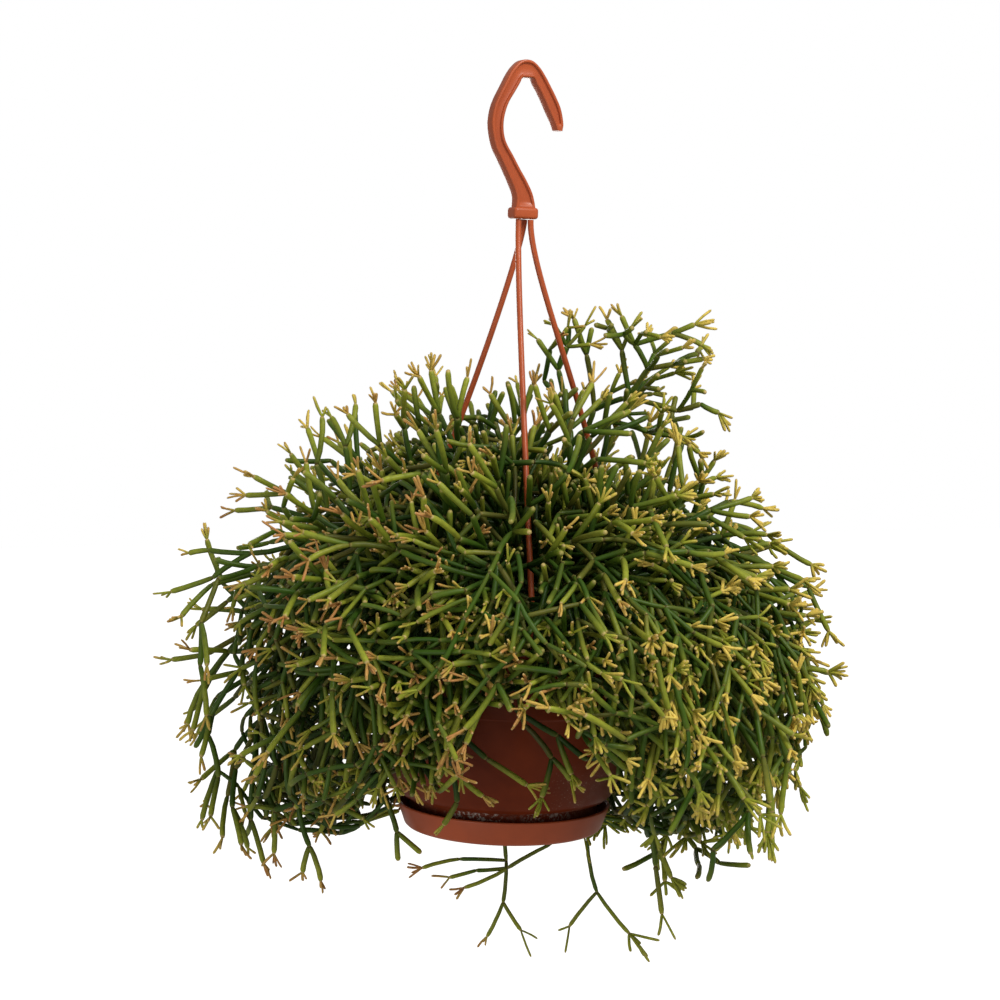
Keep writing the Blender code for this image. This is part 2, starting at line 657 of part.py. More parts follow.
def make_saucer(part, surface):
    """A dish with a rounded lip, and the snap post that clips through the pot's floor."""
    chamfer = 1.2
    profile = ((0, SNAP_HEAD_TOP), (SNAP_HEAD_RADIUS - chamfer, SNAP_HEAD_TOP),
               (SNAP_HEAD_RADIUS, SNAP_HEAD_TOP - chamfer),
               (SNAP_HEAD_RADIUS, POT_FLOOR + GAP), (SNAP_RADIUS, POT_FLOOR + GAP),
               (SNAP_RADIUS, SAUCER_FLOOR), (FOOT_RADIUS + 0.6, SAUCER_FLOOR), (48.4, -366.2),
               (49.6, -363.6), (51.3, LIP_TOP - 0.4), (51.9, LIP_TOP), (LIP_RADIUS - 0.4, LIP_TOP),
               (LIP_RADIUS, LIP_TOP - 0.6), (49.3, -367.6), (48.0, SAUCER_BOTTOM), (0, SAUCER_BOTTOM))
    turned("saucer", profile, TURN_STEPS, part, surface)


def soil_height(x, y):
    """Gentle lumps of the soil's top, level at its edge."""
    return SOIL_LUMP * (math.sin(0.11 * x + 0.5) * math.cos(0.13 * y) + 0.6 * math.sin(0.21 * y - 0.16 * x))


def make_soil(part, roots, surface):
    """The soil, with a blind hole for each stem and a hollow over the saucer's snap head."""
    side = [(radius - SOIL_GAP, height + GAP) for radius, height in POT_INSIDE]
    head_room = SNAP_HEAD_RADIUS + GAP
    profile = ((0, SOIL_TOP), (18, SOIL_TOP), (36, SOIL_TOP), (52, SOIL_TOP), (side[0][0], SOIL_TOP - 1),
               *side, (side[-1][0], POT_FLOOR + GAP), (head_room, POT_FLOOR + GAP),
               (head_room, SNAP_HEAD_TOP + GAP), (0, SNAP_HEAD_TOP + GAP))
    soil = as_mesh(turned("potting_soil", profile, SOIL_STEPS, part, surface))
    for vertex in soil.data.vertices:
        if vertex.co.z > (SOIL_TOP - 0.5) * MM:
            vertex.co.z += soil_height(vertex.co.x / MM, vertex.co.y / MM) * MM
    holes = new_collection("root_holes")
    for k, root in enumerate(roots):
        upright_prism(f"root_hole_{k + 1}", root, HOLE_RADIUS, HOLE_SIDES, ROOT_BOTTOM - GAP, ROOT_TOP, holes)
    add_boolean(soil, "DIFFERENCE", holes)
    soil = as_mesh(soil)
    remove_collection(holes)


def hook_outline():
    return [out for out, _ in HOOK_RIBS] + [into for _, into in HOOK_RIBS[::-1]]


def recess_outline():
    """The recess runs between the ribs, drawn in from both edges by the rim's width."""
    outer, inner = [], []
    ribs = np.array(HOOK_RIBS)
    for out, into in (ribs[RECESS_FIRST:RECESS_LAST] + ribs[RECESS_FIRST + 1:RECESS_LAST + 1]) / 2:
        step = unit(into - out) * HOOK_RIM
        outer.append(tuple(out + step))
        inner.append(tuple(into - step))
    return outer + inner[::-1]


def make_hook(part, surface):
    hook = flat_outline("hanger_hook", hook_outline(), HOOK_THICKNESS / 2, part, surface)
    helpers = new_collection("hook_helpers")
    for side in (-1, 1):
        recess = flat_outline(f"recess_{side + 2}", recess_outline(), HOOK_RECESS, helpers)
        recess.location.y = side * HOOK_THICKNESS / 2 * MM
        hide_cutter(recess)
    add_boolean(hook, "DIFFERENCE", helpers)
    collar_parts = new_collection("collar_parts")
    bpy.ops.mesh.primitive_cube_add(size=1)
    collar = bpy.context.object
    collar.name = "collar"
    width, height = COLLAR_RIGHT - COLLAR_LEFT, COLLAR_TOP - COLLAR_BOTTOM
    middle = Vector(((COLLAR_LEFT + COLLAR_RIGHT) / 2, 0, (COLLAR_TOP + COLLAR_BOTTOM) / 2))
    size = Matrix.Diagonal((width * MM, COLLAR_DEPTH * MM, height * MM, 1))
    collar.data.transform(Matrix.Translation(middle * MM) @ size)
    bevel = collar.modifiers.new("round", "BEVEL")
    bevel.width = 1.9 * MM
    bevel.segments = 2
    for collection in list(collar.users_collection):
        collection.objects.unlink(collar)
    collar_parts.objects.link(collar)
    add_boolean(hook, "UNION", collar_parts)
    as_mesh(hook)
    remove_collection(helpers)
    remove_collection(collar_parts)


def make_legs(part, surface):
    """Three round legs, each through its hole in the rim to the bead that holds it."""
    for name, leg in zip(LEG_NAMES, LEGS):
        data = bpy.data.curves.new(f"hanger_leg_{name}", "CURVE")
        data.dimensions = "3D"
        data.bevel_depth = LEG_RADIUS * MM
        data.bevel_resolution = 1
        data.use_fill_caps = True
        points = list(leg_curve(leg, 12))
        sizes = [1.0] * len(points)
        for height, size in LEG_END:
            points.append(np.array([points[-1][0], points[-1][1], height]))
            sizes.append(size)
        spline = data.splines.new("POLY")
        spline.points.add(len(points) - 1)
        for point, co, size in zip(spline.points, points, sizes):
            point.co = (*(co * MM), 1)
            point.radius = size
        add_object(f"hanger_leg_{name}", data, part, surface)


def stem_section():
    """The three-sided section that every stem's curves share."""
    data = bpy.data.curves.new("stem_section", "CURVE")
    data.dimensions = "2D"
    spline = data.splines.new("POLY")
    spline.points.add(2)
    for k, point in enumerate(spline.points):
        angle = 2 * math.pi * k / 3
        point.co = (STEM_RADIUS * MM * math.cos(angle), STEM_RADIUS * MM * math.sin(angle), 0, 1)
    spline.use_cyclic_u = True
    section = add_object("stem_section", data, bpy.context.scene.collection)
    hide_cutter(section)
    return section


def make_limb(name, line, section, is_side, collection, surface):
    data = bpy.data.curves.new(name, "CURVE")
    data.dimensions = "3D"
    data.bevel_mode = "OBJECT"
    data.bevel_object = section
    data.use_fill_caps = True
    spline = data.splines.new("POLY")
    spline.points.add(len(line) - 1)
    for point, co in zip(spline.points, line):
        point.co = (*(co * MM), 1)
    if is_side:
        spline.points[0].radius = LIMB_START
    return add_object(name, data, collection, surface)


def make_stem(number, segments, section, part, surface):
    """One leafless branching stem, its limbs joined at their joints."""
    name = f"stem_{number:02d}"
    limbs = new_collection(f"{name}_limbs")
    lines = limbs_of(segments)
    trunk = make_limb(name, lines[0], section, False, part, surface)
    sides = []
    for k, line in enumerate(lines[1:]):
        sides.append(make_limb(f"{name}_{k}", line, section, True, limbs, surface))
    trunk = as_meshes([trunk] + sides)[0]
    if sides:
        add_boolean(trunk, "UNION", limbs)
        trunk = as_mesh(trunk)
        drop_tiny_edges(trunk.data)
    remove_collection(limbs)


def main():
    clear_scene()
    part = new_collection("potted_rhipsalis")
    cutters = new_collection("cutters")
    stems = grow_stems()
    section = stem_section()
    green = material("stem_green", STEM_GREEN, 0.45)
    for number, segments in enumerate(stems, 1):
        make_stem(number, segments, section, part, green)
    roots = [segments[0].start for segments in stems]
    make_soil(part, roots, material("soil", SOIL_BROWN, 0.95))
    plastic = material("hanger_plastic", PLASTIC, 0.42)
    make_hook(part, plastic)
    make_legs(part, plastic)
    make_pot(part, cutters, material("pot_plastic", PLASTIC_POT, 0.38))
    make_saucer(part, material("saucer_plastic", PLASTIC_POT, 0.38))


main()
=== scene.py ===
"""The looks of the potted rhipsalis: fine stems with their side shoots and tips, and finished plastic.

Growth and sizes are in millimetres, in the same frame and by the same rules as the solids, and are scaled
to metres where a mesh is made.
"""

import json
import random
from math import atan2, cos, hypot, pi, radians, sin, sqrt

import bmesh
import bpy
import numpy as np
from mathutils import Matrix, Vector
from numpy.linalg import norm

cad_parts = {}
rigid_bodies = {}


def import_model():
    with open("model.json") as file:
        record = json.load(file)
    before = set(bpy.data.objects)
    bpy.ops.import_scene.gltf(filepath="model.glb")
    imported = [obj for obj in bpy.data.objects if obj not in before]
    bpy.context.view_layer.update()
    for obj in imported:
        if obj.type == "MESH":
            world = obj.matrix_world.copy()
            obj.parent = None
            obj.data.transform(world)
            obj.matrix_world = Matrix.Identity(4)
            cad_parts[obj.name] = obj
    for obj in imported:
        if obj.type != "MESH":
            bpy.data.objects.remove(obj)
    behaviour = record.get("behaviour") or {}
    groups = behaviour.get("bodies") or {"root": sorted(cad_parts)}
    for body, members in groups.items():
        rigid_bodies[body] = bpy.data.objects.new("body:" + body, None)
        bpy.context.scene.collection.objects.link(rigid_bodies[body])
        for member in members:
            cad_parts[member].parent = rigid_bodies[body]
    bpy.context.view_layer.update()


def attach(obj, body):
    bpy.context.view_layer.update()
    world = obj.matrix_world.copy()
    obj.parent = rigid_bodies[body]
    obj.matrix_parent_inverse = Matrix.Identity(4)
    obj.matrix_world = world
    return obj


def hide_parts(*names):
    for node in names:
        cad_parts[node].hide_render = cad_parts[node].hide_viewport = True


MM = 0.001

# the side that shows most of the pot is the front; plan places are (across, back, up) as seen from there
FRONT = radians(-27.0)
ACROSS = np.array([cos(FRONT), sin(FRONT), 0.0])
BACK = np.array([-sin(FRONT), cos(FRONT), 0.0])
UP = np.array([0.0, 0.0, 1.0])

# camera, fitted to the rim, the saucer and the hook of the photograph
CAMERA_DISTANCE = 1143.5
CAMERA_HEIGHT = -111.5
CAMERA_ASIDE = -6.37
CAMERA_PITCH = 0.08282
CAMERA_ROLL = 0.03092
FOCAL_PIXELS = 2322.0
FRAME_PIXELS = 1000
SENSOR = 36.0
CAMERA_REACH = 20.0
# the soft light: its strength from below and from above, and how steeply below it starts to grow
LIGHT_BELOW, LIGHT_ABOVE, LIGHT_FROM = 0.34, 0.44, -0.6
# the lamps, in metres and watts: name, plan place, height aimed at, size and power
LAMPS = (("key", (0.75, -0.9, 0.95), -0.25, 0.7, 20.5), ("front", (-0.75, -1.15, -0.75), -0.34, 0.8, 6.0),
         ("rear", (-0.3, 1.3, -0.15), -0.30, 0.8, 6.0))
WARM = (1.0, 0.965, 0.90)
WHITE = (1.0, 1.0, 1.0)
FLOOR_HEIGHT, FLOOR_REACH, FLOOR_GLOW = -0.9, 6.0, 0.8
FLOOR_GREY = (0.86, 0.86, 0.86)

# colours of the plastic and of its darker patches, how much it shines, what lies on the pot, and the soil;
# the pot's colours are darker than the same plastic of the hook and saucer, painted shade of the foliage over
# it
HANGER_COLOURS = ((0.500, 0.100, 0.030), (0.420, 0.080, 0.024))
# the pot's plastic, darkened as painted shade of the foliage that hangs over it
POT_SHADED_COLOURS = ((0.178, 0.028, 0.007), (0.122, 0.018, 0.005))
SAUCER_COLOURS = ((0.430, 0.084, 0.028), (0.355, 0.069, 0.024))
SHINE, POT_SHINE = 0.4, 0.14
CRUST, BLOOM, DRY_SPECKS = (0.46, 0.40, 0.37), (0.260, 0.120, 0.080), (0.42, 0.30, 0.24)
SOIL_BROWNS = ((0.020, 0.013, 0.009), (0.075, 0.048, 0.030))
# colours of the stems; the inner green is painted shade, the near-black green that stems deep inside the
# crown are darkened to
OLD_GREENS = ((0.034, 0.098, 0.006), (0.102, 0.182, 0.012))
INNER_SHADE_GREEN, MOTTLE_GREEN = (0.014, 0.040, 0.004), (0.040, 0.085, 0.010)
SUN_BROWN, JOINT_BROWN = (0.240, 0.195, 0.030), (0.080, 0.040, 0.018)
OLIVE, LIME = (0.170, 0.100, 0.026), (0.330, 0.365, 0.034)
GOLDS, END_TAN = ((0.500, 0.240, 0.075), (0.800, 0.600, 0.120)), (0.640, 0.460, 0.200)

# heights and radii of the pot and the saucer, the same as the solids have
RIM_TOP = -272.0
RIM_RADIUS = 76.0
SKIRT_BOTTOM = -292.0
FLANGE = 1.6
WALL = 1.6
# the pot's inside from the rim down, as radii and heights
POT_INSIDE = ((67.4, -303.8), (66.7, -304.6), (62.4, -323.5), (57.2, -337.5), (52.3, -349.6), (50.6, -351.2),
    (44.9, -352.2))
POT_FLOOR = -360.4
FOOT_BOTTOM = -366.7
FOOT_RADIUS = 46.5
LIP_TOP = -356.5
LIP_RADIUS = 53.0
SAUCER_FLOOR = -367.0
SAUCER_BOTTOM = -368.8
SNAP_RADIUS = 3.9
SNAP_HEAD_RADIUS = 5.6
SNAP_HEAD_TOP = -357.5
GAP = 0.3
DRAIN_RADIUS = 4.0
DRAIN_RING = 27.0
DRAINS = 6
# steps round the pot and round a hole, and how far a corner is rounded, unless its cosine is near one
FINE_STEPS = 144
HOLE_STEPS = 24
CORNER = 0.5
NEARLY_STRAIGHT = 0.985
TINY = 1e-6

# soil
SOIL_TOP = -284.0
SOIL_LUMP = 1.1
SOIL_GAP = 0.8
SOIL_REACH = 64.0
SOIL_STEPS = 96
ROOT_BOTTOM = -297.0
ROOT_TOP = -268.0
CRUMBS = 360
CRUMB_SIZES = (0.5, 1.7)

# hanger: a flat hook with a recess in both faces, a collar, and three round legs
HOOK_THICKNESS = 6.2
HOOK_RIM = 1.4
HOOK_STEPS = 150
# the recess: how deep, where it starts from the tip and from the collar, and its ramp
HOOK_RECESS = 1.1
RECESS_TIP, RECESS_BASE, RECESS_RAMP = 2.6, 2.0, 1.2
# x and z on the outer edge, then on the inner edge, from the tip over the seat down to the collar
HOOK_RIBS = ((19.6, -24.6, 16.7, -24.3), (20.0, -20.8, 15.1, -20.6), (18.4, -14.0, 12.4, -16.0),
    (15.5, -8.3, 9.6, -10.8), (12.2, -3.0, 6.9, -6.2), (9.3, 1.4, 4.5, -2.8), (6.2, 5.2, 3.8, -1.1),
    (2.6, 8.0, 2.7, 0.0), (-0.9, 8.7, 0.0, 0.0), (-4.2, 7.9, -2.7, 0.0), (-7.5, 5.0, -3.8, -1.1),
    (-10.3, 1.0, -4.5, -2.8), (-13.3, -4.8, -7.2, -7.4), (-16.2, -10.4, -10.0, -12.0),
    (-18.2, -15.8, -11.9, -17.0), (-19.1, -22.5, -12.8, -22.6), (-18.3, -28.6, -12.3, -28.2),
    (-16.5, -34.6, -10.6, -32.6), (-13.3, -40.2, -6.7, -38.4), (-9.9, -46.2, -3.2, -43.9),
    (-7.0, -51.6, 0.7, -49.6), (-4.8, -56.4, 3.9, -55.2), (-4.4, -60.0, 5.4, -59.8),
    (-4.8, -63.8, 6.2, -63.8))
COLLAR_LEFT, COLLAR_RIGHT = -6.1, 7.2
COLLAR_DEPTH = 9.0
COLLAR_TOP, COLLAR_BOTTOM = -62.6, -68.2
COLLAR_ROUND = 1.9
LEG_RADIUS = 1.45
LEG_STEPS = 48
LUG_HOLE_RADIUS = 1.9
LEG_NAMES = ("front", "right", "left")
# each leg's curve in plan places: its start, two handles and its foot at the rim
LEGS = (((-1.5, -2.2, -68.5), (-1.9, -6, -94), (5.8, -42, -189), (11.3, -70.8, -269)),
        ((4.4, -0.6, -68.5), (4, 0, -99), (53, 30, -192), (55.6, 45.2, -269)),
        ((1.4, 2.2, -68.5), (0, 5, -88), (-35.5, 16, -200), (-67.0, 25.6, -269)))
# below the foot: heights of the neck and of the bead that holds the rim, and thickness relative to the leg's
LEG_END = ((-273.9, 1.0), (-274.1, 1.5), (-276.2, 1.5), (-277.0, 0.8))

# stems
SEED = 7
STEM_RADIUS = 1.6
STRAIGHT = 26.0
SEGMENT = (19, 26)
STEM_ROOM = 2.6
CELL = 36.0
FAR = 40.0
TURNS_TRIED = 12
TRUNKS_TRIED = 24
# how far a shoot turns from its lead, in degrees: least, most, and how much more when it wanders freely
TURN_LEAST, TURN_MOST, TURN_FREE = 8, 50, 20
WANDER = 0.25
# as cosines: how nearly ahead it goes, and how nearly the same way as its sisters
AHEAD_LEAST, SISTER_MOST = 0.25, 0.86
# where along it other things are looked for, and the most room that counts
LOOKED_AT = (0.3, 0.65, 1.0)
ROOM_MOST = 14
# the sides of a way that rises more steeply than this are found from ACROSS, not from UP
STEEP = 0.8

# the crown's outline, (radius, height) from the top round to the underside, seen on the left and on the right
CROWN_LEFT = ((0, -152), (30, -140), (60, -139), (84, -151), (104, -170), (124, -190), (142, -216),
    (157, -234), (162, -262), (155, -290), (152, -320), (146, -350), (146, -374), (118, -392), (76, -399),
    (52, -390), (0, -385))
CROWN_RIGHT = ((0, -152), (30, -148), (62, -156), (88, -170), (104, -188), (118, -204), (138, -226),
    (152, -246), (160, -266), (166, -300), (160, -332), (149, -356), (138, -378), (118, -396), (78, -404),
    (52, -394), (0, -385))
CROWN_EDGE = 5.0
# how much higher the crown's underside is at the front, and the heights between which this sets in
FRONT_LIFT, LIFT_FROM, LIFT_TO = 34.0, -285.0, -350.0
# how shoots turn with height, in degrees above level, and how much more the outer ones spread
TILT_HEIGHTS = (-350, -320, -290, -265, -240, -215, -190)
TILTS = (-74, -66, -46, -20, 8, 38, 80)
TILT_TOP, TILT_PER_RADIUS = 80, 0.42
TILT_SPREAD, TILT_MIDDLE = 0.6, 112
# what the shoots keep clear of round the pot, as heights and radii
POT_HEIGHTS = (-272, -296, -304.5, -322, -336, -350, -357, -369)
POT_RADII = (76, 75, 69, 64, 59, 55, 54, 50)
POT_ROOM = 3.0
UNDER_RADIUS, UNDER_DEPTH = 62, 30
# the part of the pot's front that the foliage leaves open
WINDOW_MIDDLE, WINDOW_HALF, WINDOW_FLAT = 8.0, 66.0, 14.0
WINDOW_TOP, WINDOW_SLOPE, WINDOW_BACK = -291.0, 0.8, -20.0

# guided shoots: the root, the leading line from it, and the side limbs, each from a point of another line
TUFT = ((20, 6), ((30, 10, -240), (40, 13, -204), (47, 15, -167), (57, 15, -155), (52, 16, -131),
    (44, 17, -116)),
    (((57, 15, -155), (65, 13, -140), (58, 12, -128), (51, 11, -114)), ((58, 12, -128), (76, 9, -122),
     (87, 8, -117)), ((76, 9, -122), (91, 6, -127)), ((65, 13, -140), (78, 9, -137), (92, 8, -134)),
     ((57, 15, -155), (80, 6, -160), (91, 2, -156), (100, 0, -160)), ((47, 15, -167), (66, 8, -171),
     (84, 2, -173), (91, 0, -180))))
TUFT_BEHIND = ((8, 18), ((18, 22, -235), (30, 30, -198), (40, 32, -162), (35, 31, -134), (28, 30, -116)),
    (((30, 30, -198), (27, 29, -168), (21, 28, -142), (10, 27, -127)), ((27, 29, -168), (14, 34, -148))))
TRAIL_DOWN = ((4, 54), ((8, 82, -240), (8, 104, -258), (6, 106, -288), (4, 102, -318), (2, 96, -348),
    (3, 90, -378), (3, 86, -408), (2, 86, -431), (-6, 86, -450)),
    (((2, 86, -431), (12, 86, -446)), ((3, 86, -408), (-22, 86, -408), (-42, 84, -413)), ((4, 102, -318),
     (-14, 98, -340), (-24, 92, -362)), ((3, 90, -378), (-13, 92, -394))))
TRAIL_LEFT = ((22, 50), ((40, 80, -240), (54, 96, -262), (56, 98, -292), (52, 96, -322), (46, 90, -350),
    (38, 82, -378), (26, 79, -397), (4, 78, -410), (-13, 78, -412), (-27, 77, -416)),
    (((4, 78, -410), (-19, 76, -421)), ((52, 96, -322), (36, 102, -344), (24, 100, -366))))
TRAIL_FORK = ((38, 34), ((64, 56, -238), (84, 70, -262), (84, 74, -292), (76, 78, -322), (64, 80, -350),
    (51, 80, -375), (46, 79, -394), (52, 79, -422), (38, 79, -441)),
    (((52, 79, -422), (70, 79, -444)), ((64, 80, -350), (76, 82, -376), (84, 78, -400))))
LEFT_HIGH = ((-46, -8), ((-72, -10, -238), (-100, -8, -228), (-128, -5, -236), (-147, -3, -249),
    (-168, 0, -257)),
    (((-128, -5, -236), (-150, 2, -236), (-160, 4, -238)), ((-100, -8, -228), (-120, -16, -214))))
LEFT_LOW = ((-42, 8), ((-74, 10, -250), (-104, 10, -258), (-130, 6, -276), (-150, 2, -288), (-167, 0, -291)),
    (((-130, 6, -276), (-148, 8, -300), (-157, 4, -317)),))
FRONT_LONG = ((-8, -48), ((-16, -78, -246), (-22, -98, -262), (-11, -99, -285), (3, -99, -293),
    (23, -98, -305), (37, -97, -316), (49, -94, -313)),
    (((23, -98, -305), (30, -102, -322)),))
FRONT_MID = ((6, -50), ((6, -80, -250), (0, -96, -268), (8, -90, -302), (21, -90, -317), (30, -90, -327)),
    (((21, -90, -317), (17, -92, -335)),))
FRONT_LEFT = ((-22, -44), ((-38, -72, -248), (-44, -88, -270), (-37, -90, -296), (-24, -91, -305),
    (-9, -91, -318), (10, -90, -330)),
    (((-24, -91, -305), (-20, -94, -325)),))
FRONT_LOW = ((-32, -38), ((-50, -62, -246), (-58, -76, -270), (-46, -78, -292), (-34, -79, -308),
    (-25, -79, -326), (-22, -76, -342), (-28, -76, -353)),
    (((-25, -79, -326), (-10, -80, -338)),))
LOW_LEFT = ((-46, -24), ((-70, -28, -238), (-98, -31, -254), (-112, -31, -282), (-110, -30, -312),
    (-105, -30, -338), (-100, -30, -356), (-94, -30, -376), (-97, -30, -389)),
    (((-94, -30, -376), (-88, -30, -393)),))
LOW_FORK = ((-36, -22), ((-58, -34, -242), (-80, -42, -260), (-86, -40, -290), (-78, -30, -318),
    (-66, -22, -340), (-58, -20, -354), (-52, -20, -370), (-51, -20, -384)),
    (((-52, -20, -370), (-40, -20, -380)),))
RIGHT_LOW = ((40, -14), ((64, -18, -240), (86, -20, -262), (84, -19, -292), (68, -17, -318), (64, -16, -340),
    (72, -15, -364), (76, -15, -384), (80, -15, -408)),
    (((72, -15, -364), (84, -14, -390)),))
RIGHT_EDGE = ((46, 2), ((74, -1, -236), (101, -4, -238), (126, -5, -256), (141, -5, -282), (159, -5, -287)),
    (((141, -5, -282), (157, -3, -303)), ((126, -5, -256), (146, -9, -258))))
GUIDED = (TUFT, TUFT_BEHIND, TRAIL_DOWN, TRAIL_LEFT, TRAIL_FORK, LEFT_HIGH, LEFT_LOW, FRONT_LONG, FRONT_MID,
          FRONT_LEFT, FRONT_LOW, LOW_LEFT, LOW_FORK, RIGHT_LOW, RIGHT_EDGE)
TUFT_STEMS = (0, 1)
TUFT_MIDDLE, TUFT_HALF, TUFT_BACK, TUFT_DEPTH = 54, 38, 12, 26
TUFT_TOP, TUFT_SLOPE, TUFT_BOTTOM = -117, 0.3, -172
# rows of free shoots: how many, the radius and height they aim for, their root's radius, the row's turn as a
# share of the spacing, and how many times they branch
ROWS = ((3, 24, -152, 12, 0.40, 3), (4, 60, -150, 22, 0.15, 3), (8, 106, -180, 32, 0.60, 3),
        (8, 146, -236, 42, 0.00, 4), (8, 154, -296, 52, 0.50, 6), (7, 126, -372, 57, 0.25, 8))

# side shoots that fill the crown: generations, lengths, thickness, forks, share of the edge's depth, room
FILL_ROUNDS = 7
FILL_LENGTH = (13, 26)
FILL_RADIUS = 1.24
FILL_SIZES = (0.82, 1.15)
FILL_FORKS = (1, 2, 2, 3)
FILL_REACH = (0.55, 1.5)
FILL_ROOM = 0.4
FILL_WANDER = 0.6
# how much they lean outward, by height
LEAN_HEIGHTS, LEANS = (-360, -300, -250, -205), (0.7, 0.4, 0.2, 0.7)
# the heart of the crown, over the soil, where side shoots turn every way
HEART_RADIUS, HEART_TOP = 72.0, -196.0
# before the rim they are thick too
BRIM_HALF, BRIM_BACK, BRIM_BOTTOM, BRIM_TOP = 78.0, -58.0, -300.0, -225.0
# the lowest height at which each leg shows from the front, and the room it keeps there
LEG_SHOWN = (-243.0, -161.0, -190.0)
LEG_CLEAR = 3.4
FILL_MOST = 7500
TUFT_WANTED = (2, 2)
TUFT_LENGTH = (9, 17)
# how low the side shoots hang before the pot's front, from left to right
APRON_PLACES = (-66, -64, -30, -22, -17, -10, 24, 30, 40, 52, 58, 60)
APRON_FLOORS = (-420, -331, -331, -322, -300, -286, -286, -300, -312, -324, -336, -420)
# how deep inside the crown's outline the side shoots stay, by height
EDGE_HEIGHTS = (-400, -370, -340, -300, -260, -220, -190, -160)
EDGE_DEPTHS = (30, 23, 16, 12, 11, 16, 23, 31)
LEFT_DEPTHS = (4, 6, 14, 20, 15, 22, 20, 6)
RIGHT_DEPTHS = (0, 0, 2, 2, 4, 12, 26, 22)
# whorls of short young segments near the crown's surface: how likely, from left to right
WHORL_PLACES = (-120, -60, 20, 80, 140)
WHORL_CHANCES = (0.92, 0.75, 0.50, 0.95, 1.0)
# the depths between which they grow fewer, and the share that is left on each side
WHORL_DEPTHS, DEEP_LEFT, DEEP_RIGHT = (8, 44), 0.3, 0.12
WHORL_LENGTH = (5.0, 11.0)
WHORL_SIZES = (0.75, 1.15)
MANY_TIPS, FEW_TIPS, MANY_FROM = (3, 4, 5, 6, 7), (2, 3, 4, 5), 60
WHORL_RADII = (0.66, 0.66, 0.66, 0.80, 0.84)
# fewer above, and fewer, greener and longer ones below
WHORL_HEIGHTS = (-390, -340, -300, -215, -190)
WHORL_SHARES = (0.5, 0.5, 1.0, 1.0, 0.75)
GREEN_HEIGHTS, GREEN_SHARES = (-370, -310), (0.45, 1.0)
FORK_SIZES = (1.5, 1.0)
WHORL_SPREAD = (12, 50)
# how thick the main shoots show, and the thinner ones that trail below the pot
MAIN_SHARE, TRAIL_SHARE = 0.88, 0.72
TRAILING = (2, 3, 4)
# from this youth on a segment is a tip, and deeper than this inside the crown the stems are darkest, painted
# shade in their colour
TIP_YOUTH = 0.45
SHADE_DEPTH = 44.0
# rings along a stem's segment: how far along, and how thick; and its sides, fewer deep inside the crown
SEGMENT_RINGS = ((0.0, 0.62), (0.06, 0.86), (0.28, 0.96), (0.70, 1.0), (0.92, 1.04), (1.0, 0.74))
SEGMENT_SIDES = 7
INNER_DEPTH, INNER_SIDES = 34.0, 5
TIP_RINGS = ((0.0, 0.70), (0.15, 0.92), (0.60, 1.0), (0.92, 1.0), (1.0, 0.66))
TIP_SIDES = 5
# how far the ends stand out past the first and the last ring, and how far a segment bows
ROOT_CAP, TIP_CAP = 0.35, 0.38
LEAST_BOW, MOST_BOW = 0.012, 0.060


def place(across, back, up):
    return ACROSS * across + BACK * back + UP * up


def seen(points):
    """How far points lie across, to the back and up."""
    return points @ ACROSS, points @ BACK, points[..., 2]


def unit(v):
    return v / norm(v)


def ring(radius, angle, height):
    return np.array([radius * cos(angle), radius * sin(angle), height])


def curve(p0, p1, p2, p3, count):
    """Points along a cubic curve with two handles."""
    t = np.linspace(0, 1, count + 1)[:, None]
    return (1 - t) ** 3 * p0 + 3 * (1 - t) ** 2 * t * p1 + 3 * (1 - t) * t * t * p2 + t ** 3 * p3


def leg_curve(leg, count):
    return curve(*(place(*p) for p in leg), count)


# each leg's line, from the top down
LEG_LINES = [leg_curve(leg, 24) for leg in LEGS]


# growth of the stems


def crown_depth(points):
    """How far inside the crown's outline each point lies, negative outside it."""
    radius = np.hypot(points[:, 0], points[:, 1])
    angle = np.arctan2(points[:, 1], points[:, 0])
    facing = np.clip(-(points @ BACK) / np.maximum(radius, 1.0), 0, 1)
    low = np.clip((LIFT_FROM - points[:, 2]) / (LIFT_FROM - LIFT_TO), 0, 1)
    height = points[:, 2] - FRONT_LIFT * facing * low
    to_right = (0.5 + 0.5 * np.cos(angle - FRONT))[:, None, None]
    left = np.array(CROWN_LEFT, float)
    right = np.array(CROWN_RIGHT, float)
    line = left + (right - left) * to_right
    a, b = line[:, :-1], line[:, 1:]
    p = np.stack([radius, height], 1)[:, None, :]
    along = np.clip(((p - a) * (b - a)).sum(2) / ((b - a) ** 2).sum(2), 0, 1)
    distance = norm(p - a - (b - a) * along[..., None], axis=2).min(1)
    spans = (a[..., 1] > p[..., 1]) != (b[..., 1] > p[..., 1])
    rise = np.where(spans, b[..., 1] - a[..., 1], 1.0)
    at = a[..., 0] + (p[..., 1] - a[..., 1]) * (b[..., 0] - a[..., 0]) / rise
    inside = (spans & (radius[:, None] < at)).sum(1) % 2 == 1
    lumps = (4 * np.sin(3 * angle + 0.02 * height) + 3 * np.sin(5 * angle - 0.035 * height + 1.3)
             + 3 * np.sin(8 * angle + 0.05 * height + 4))
    return np.where(inside, distance, -distance) + lumps * np.clip(radius / 80, 0, 1)


def flow(p):
    """The way a shoot tends to grow: up and out on top, level at the shoulder, down at the side."""
    radius = hypot(p[0], p[1])
    out = np.array([p[0], p[1], 0.0]) / max(radius, TINY)
    tilt = min(TILT_TOP - TILT_PER_RADIUS * radius, np.interp(p[2], TILT_HEIGHTS, TILTS))
    if tilt < 0:
        tilt = min(0.0, tilt + TILT_SPREAD * (radius - TILT_MIDDLE))
    tilt = radians(tilt)
    return out * cos(tilt) + UP * sin(tilt)


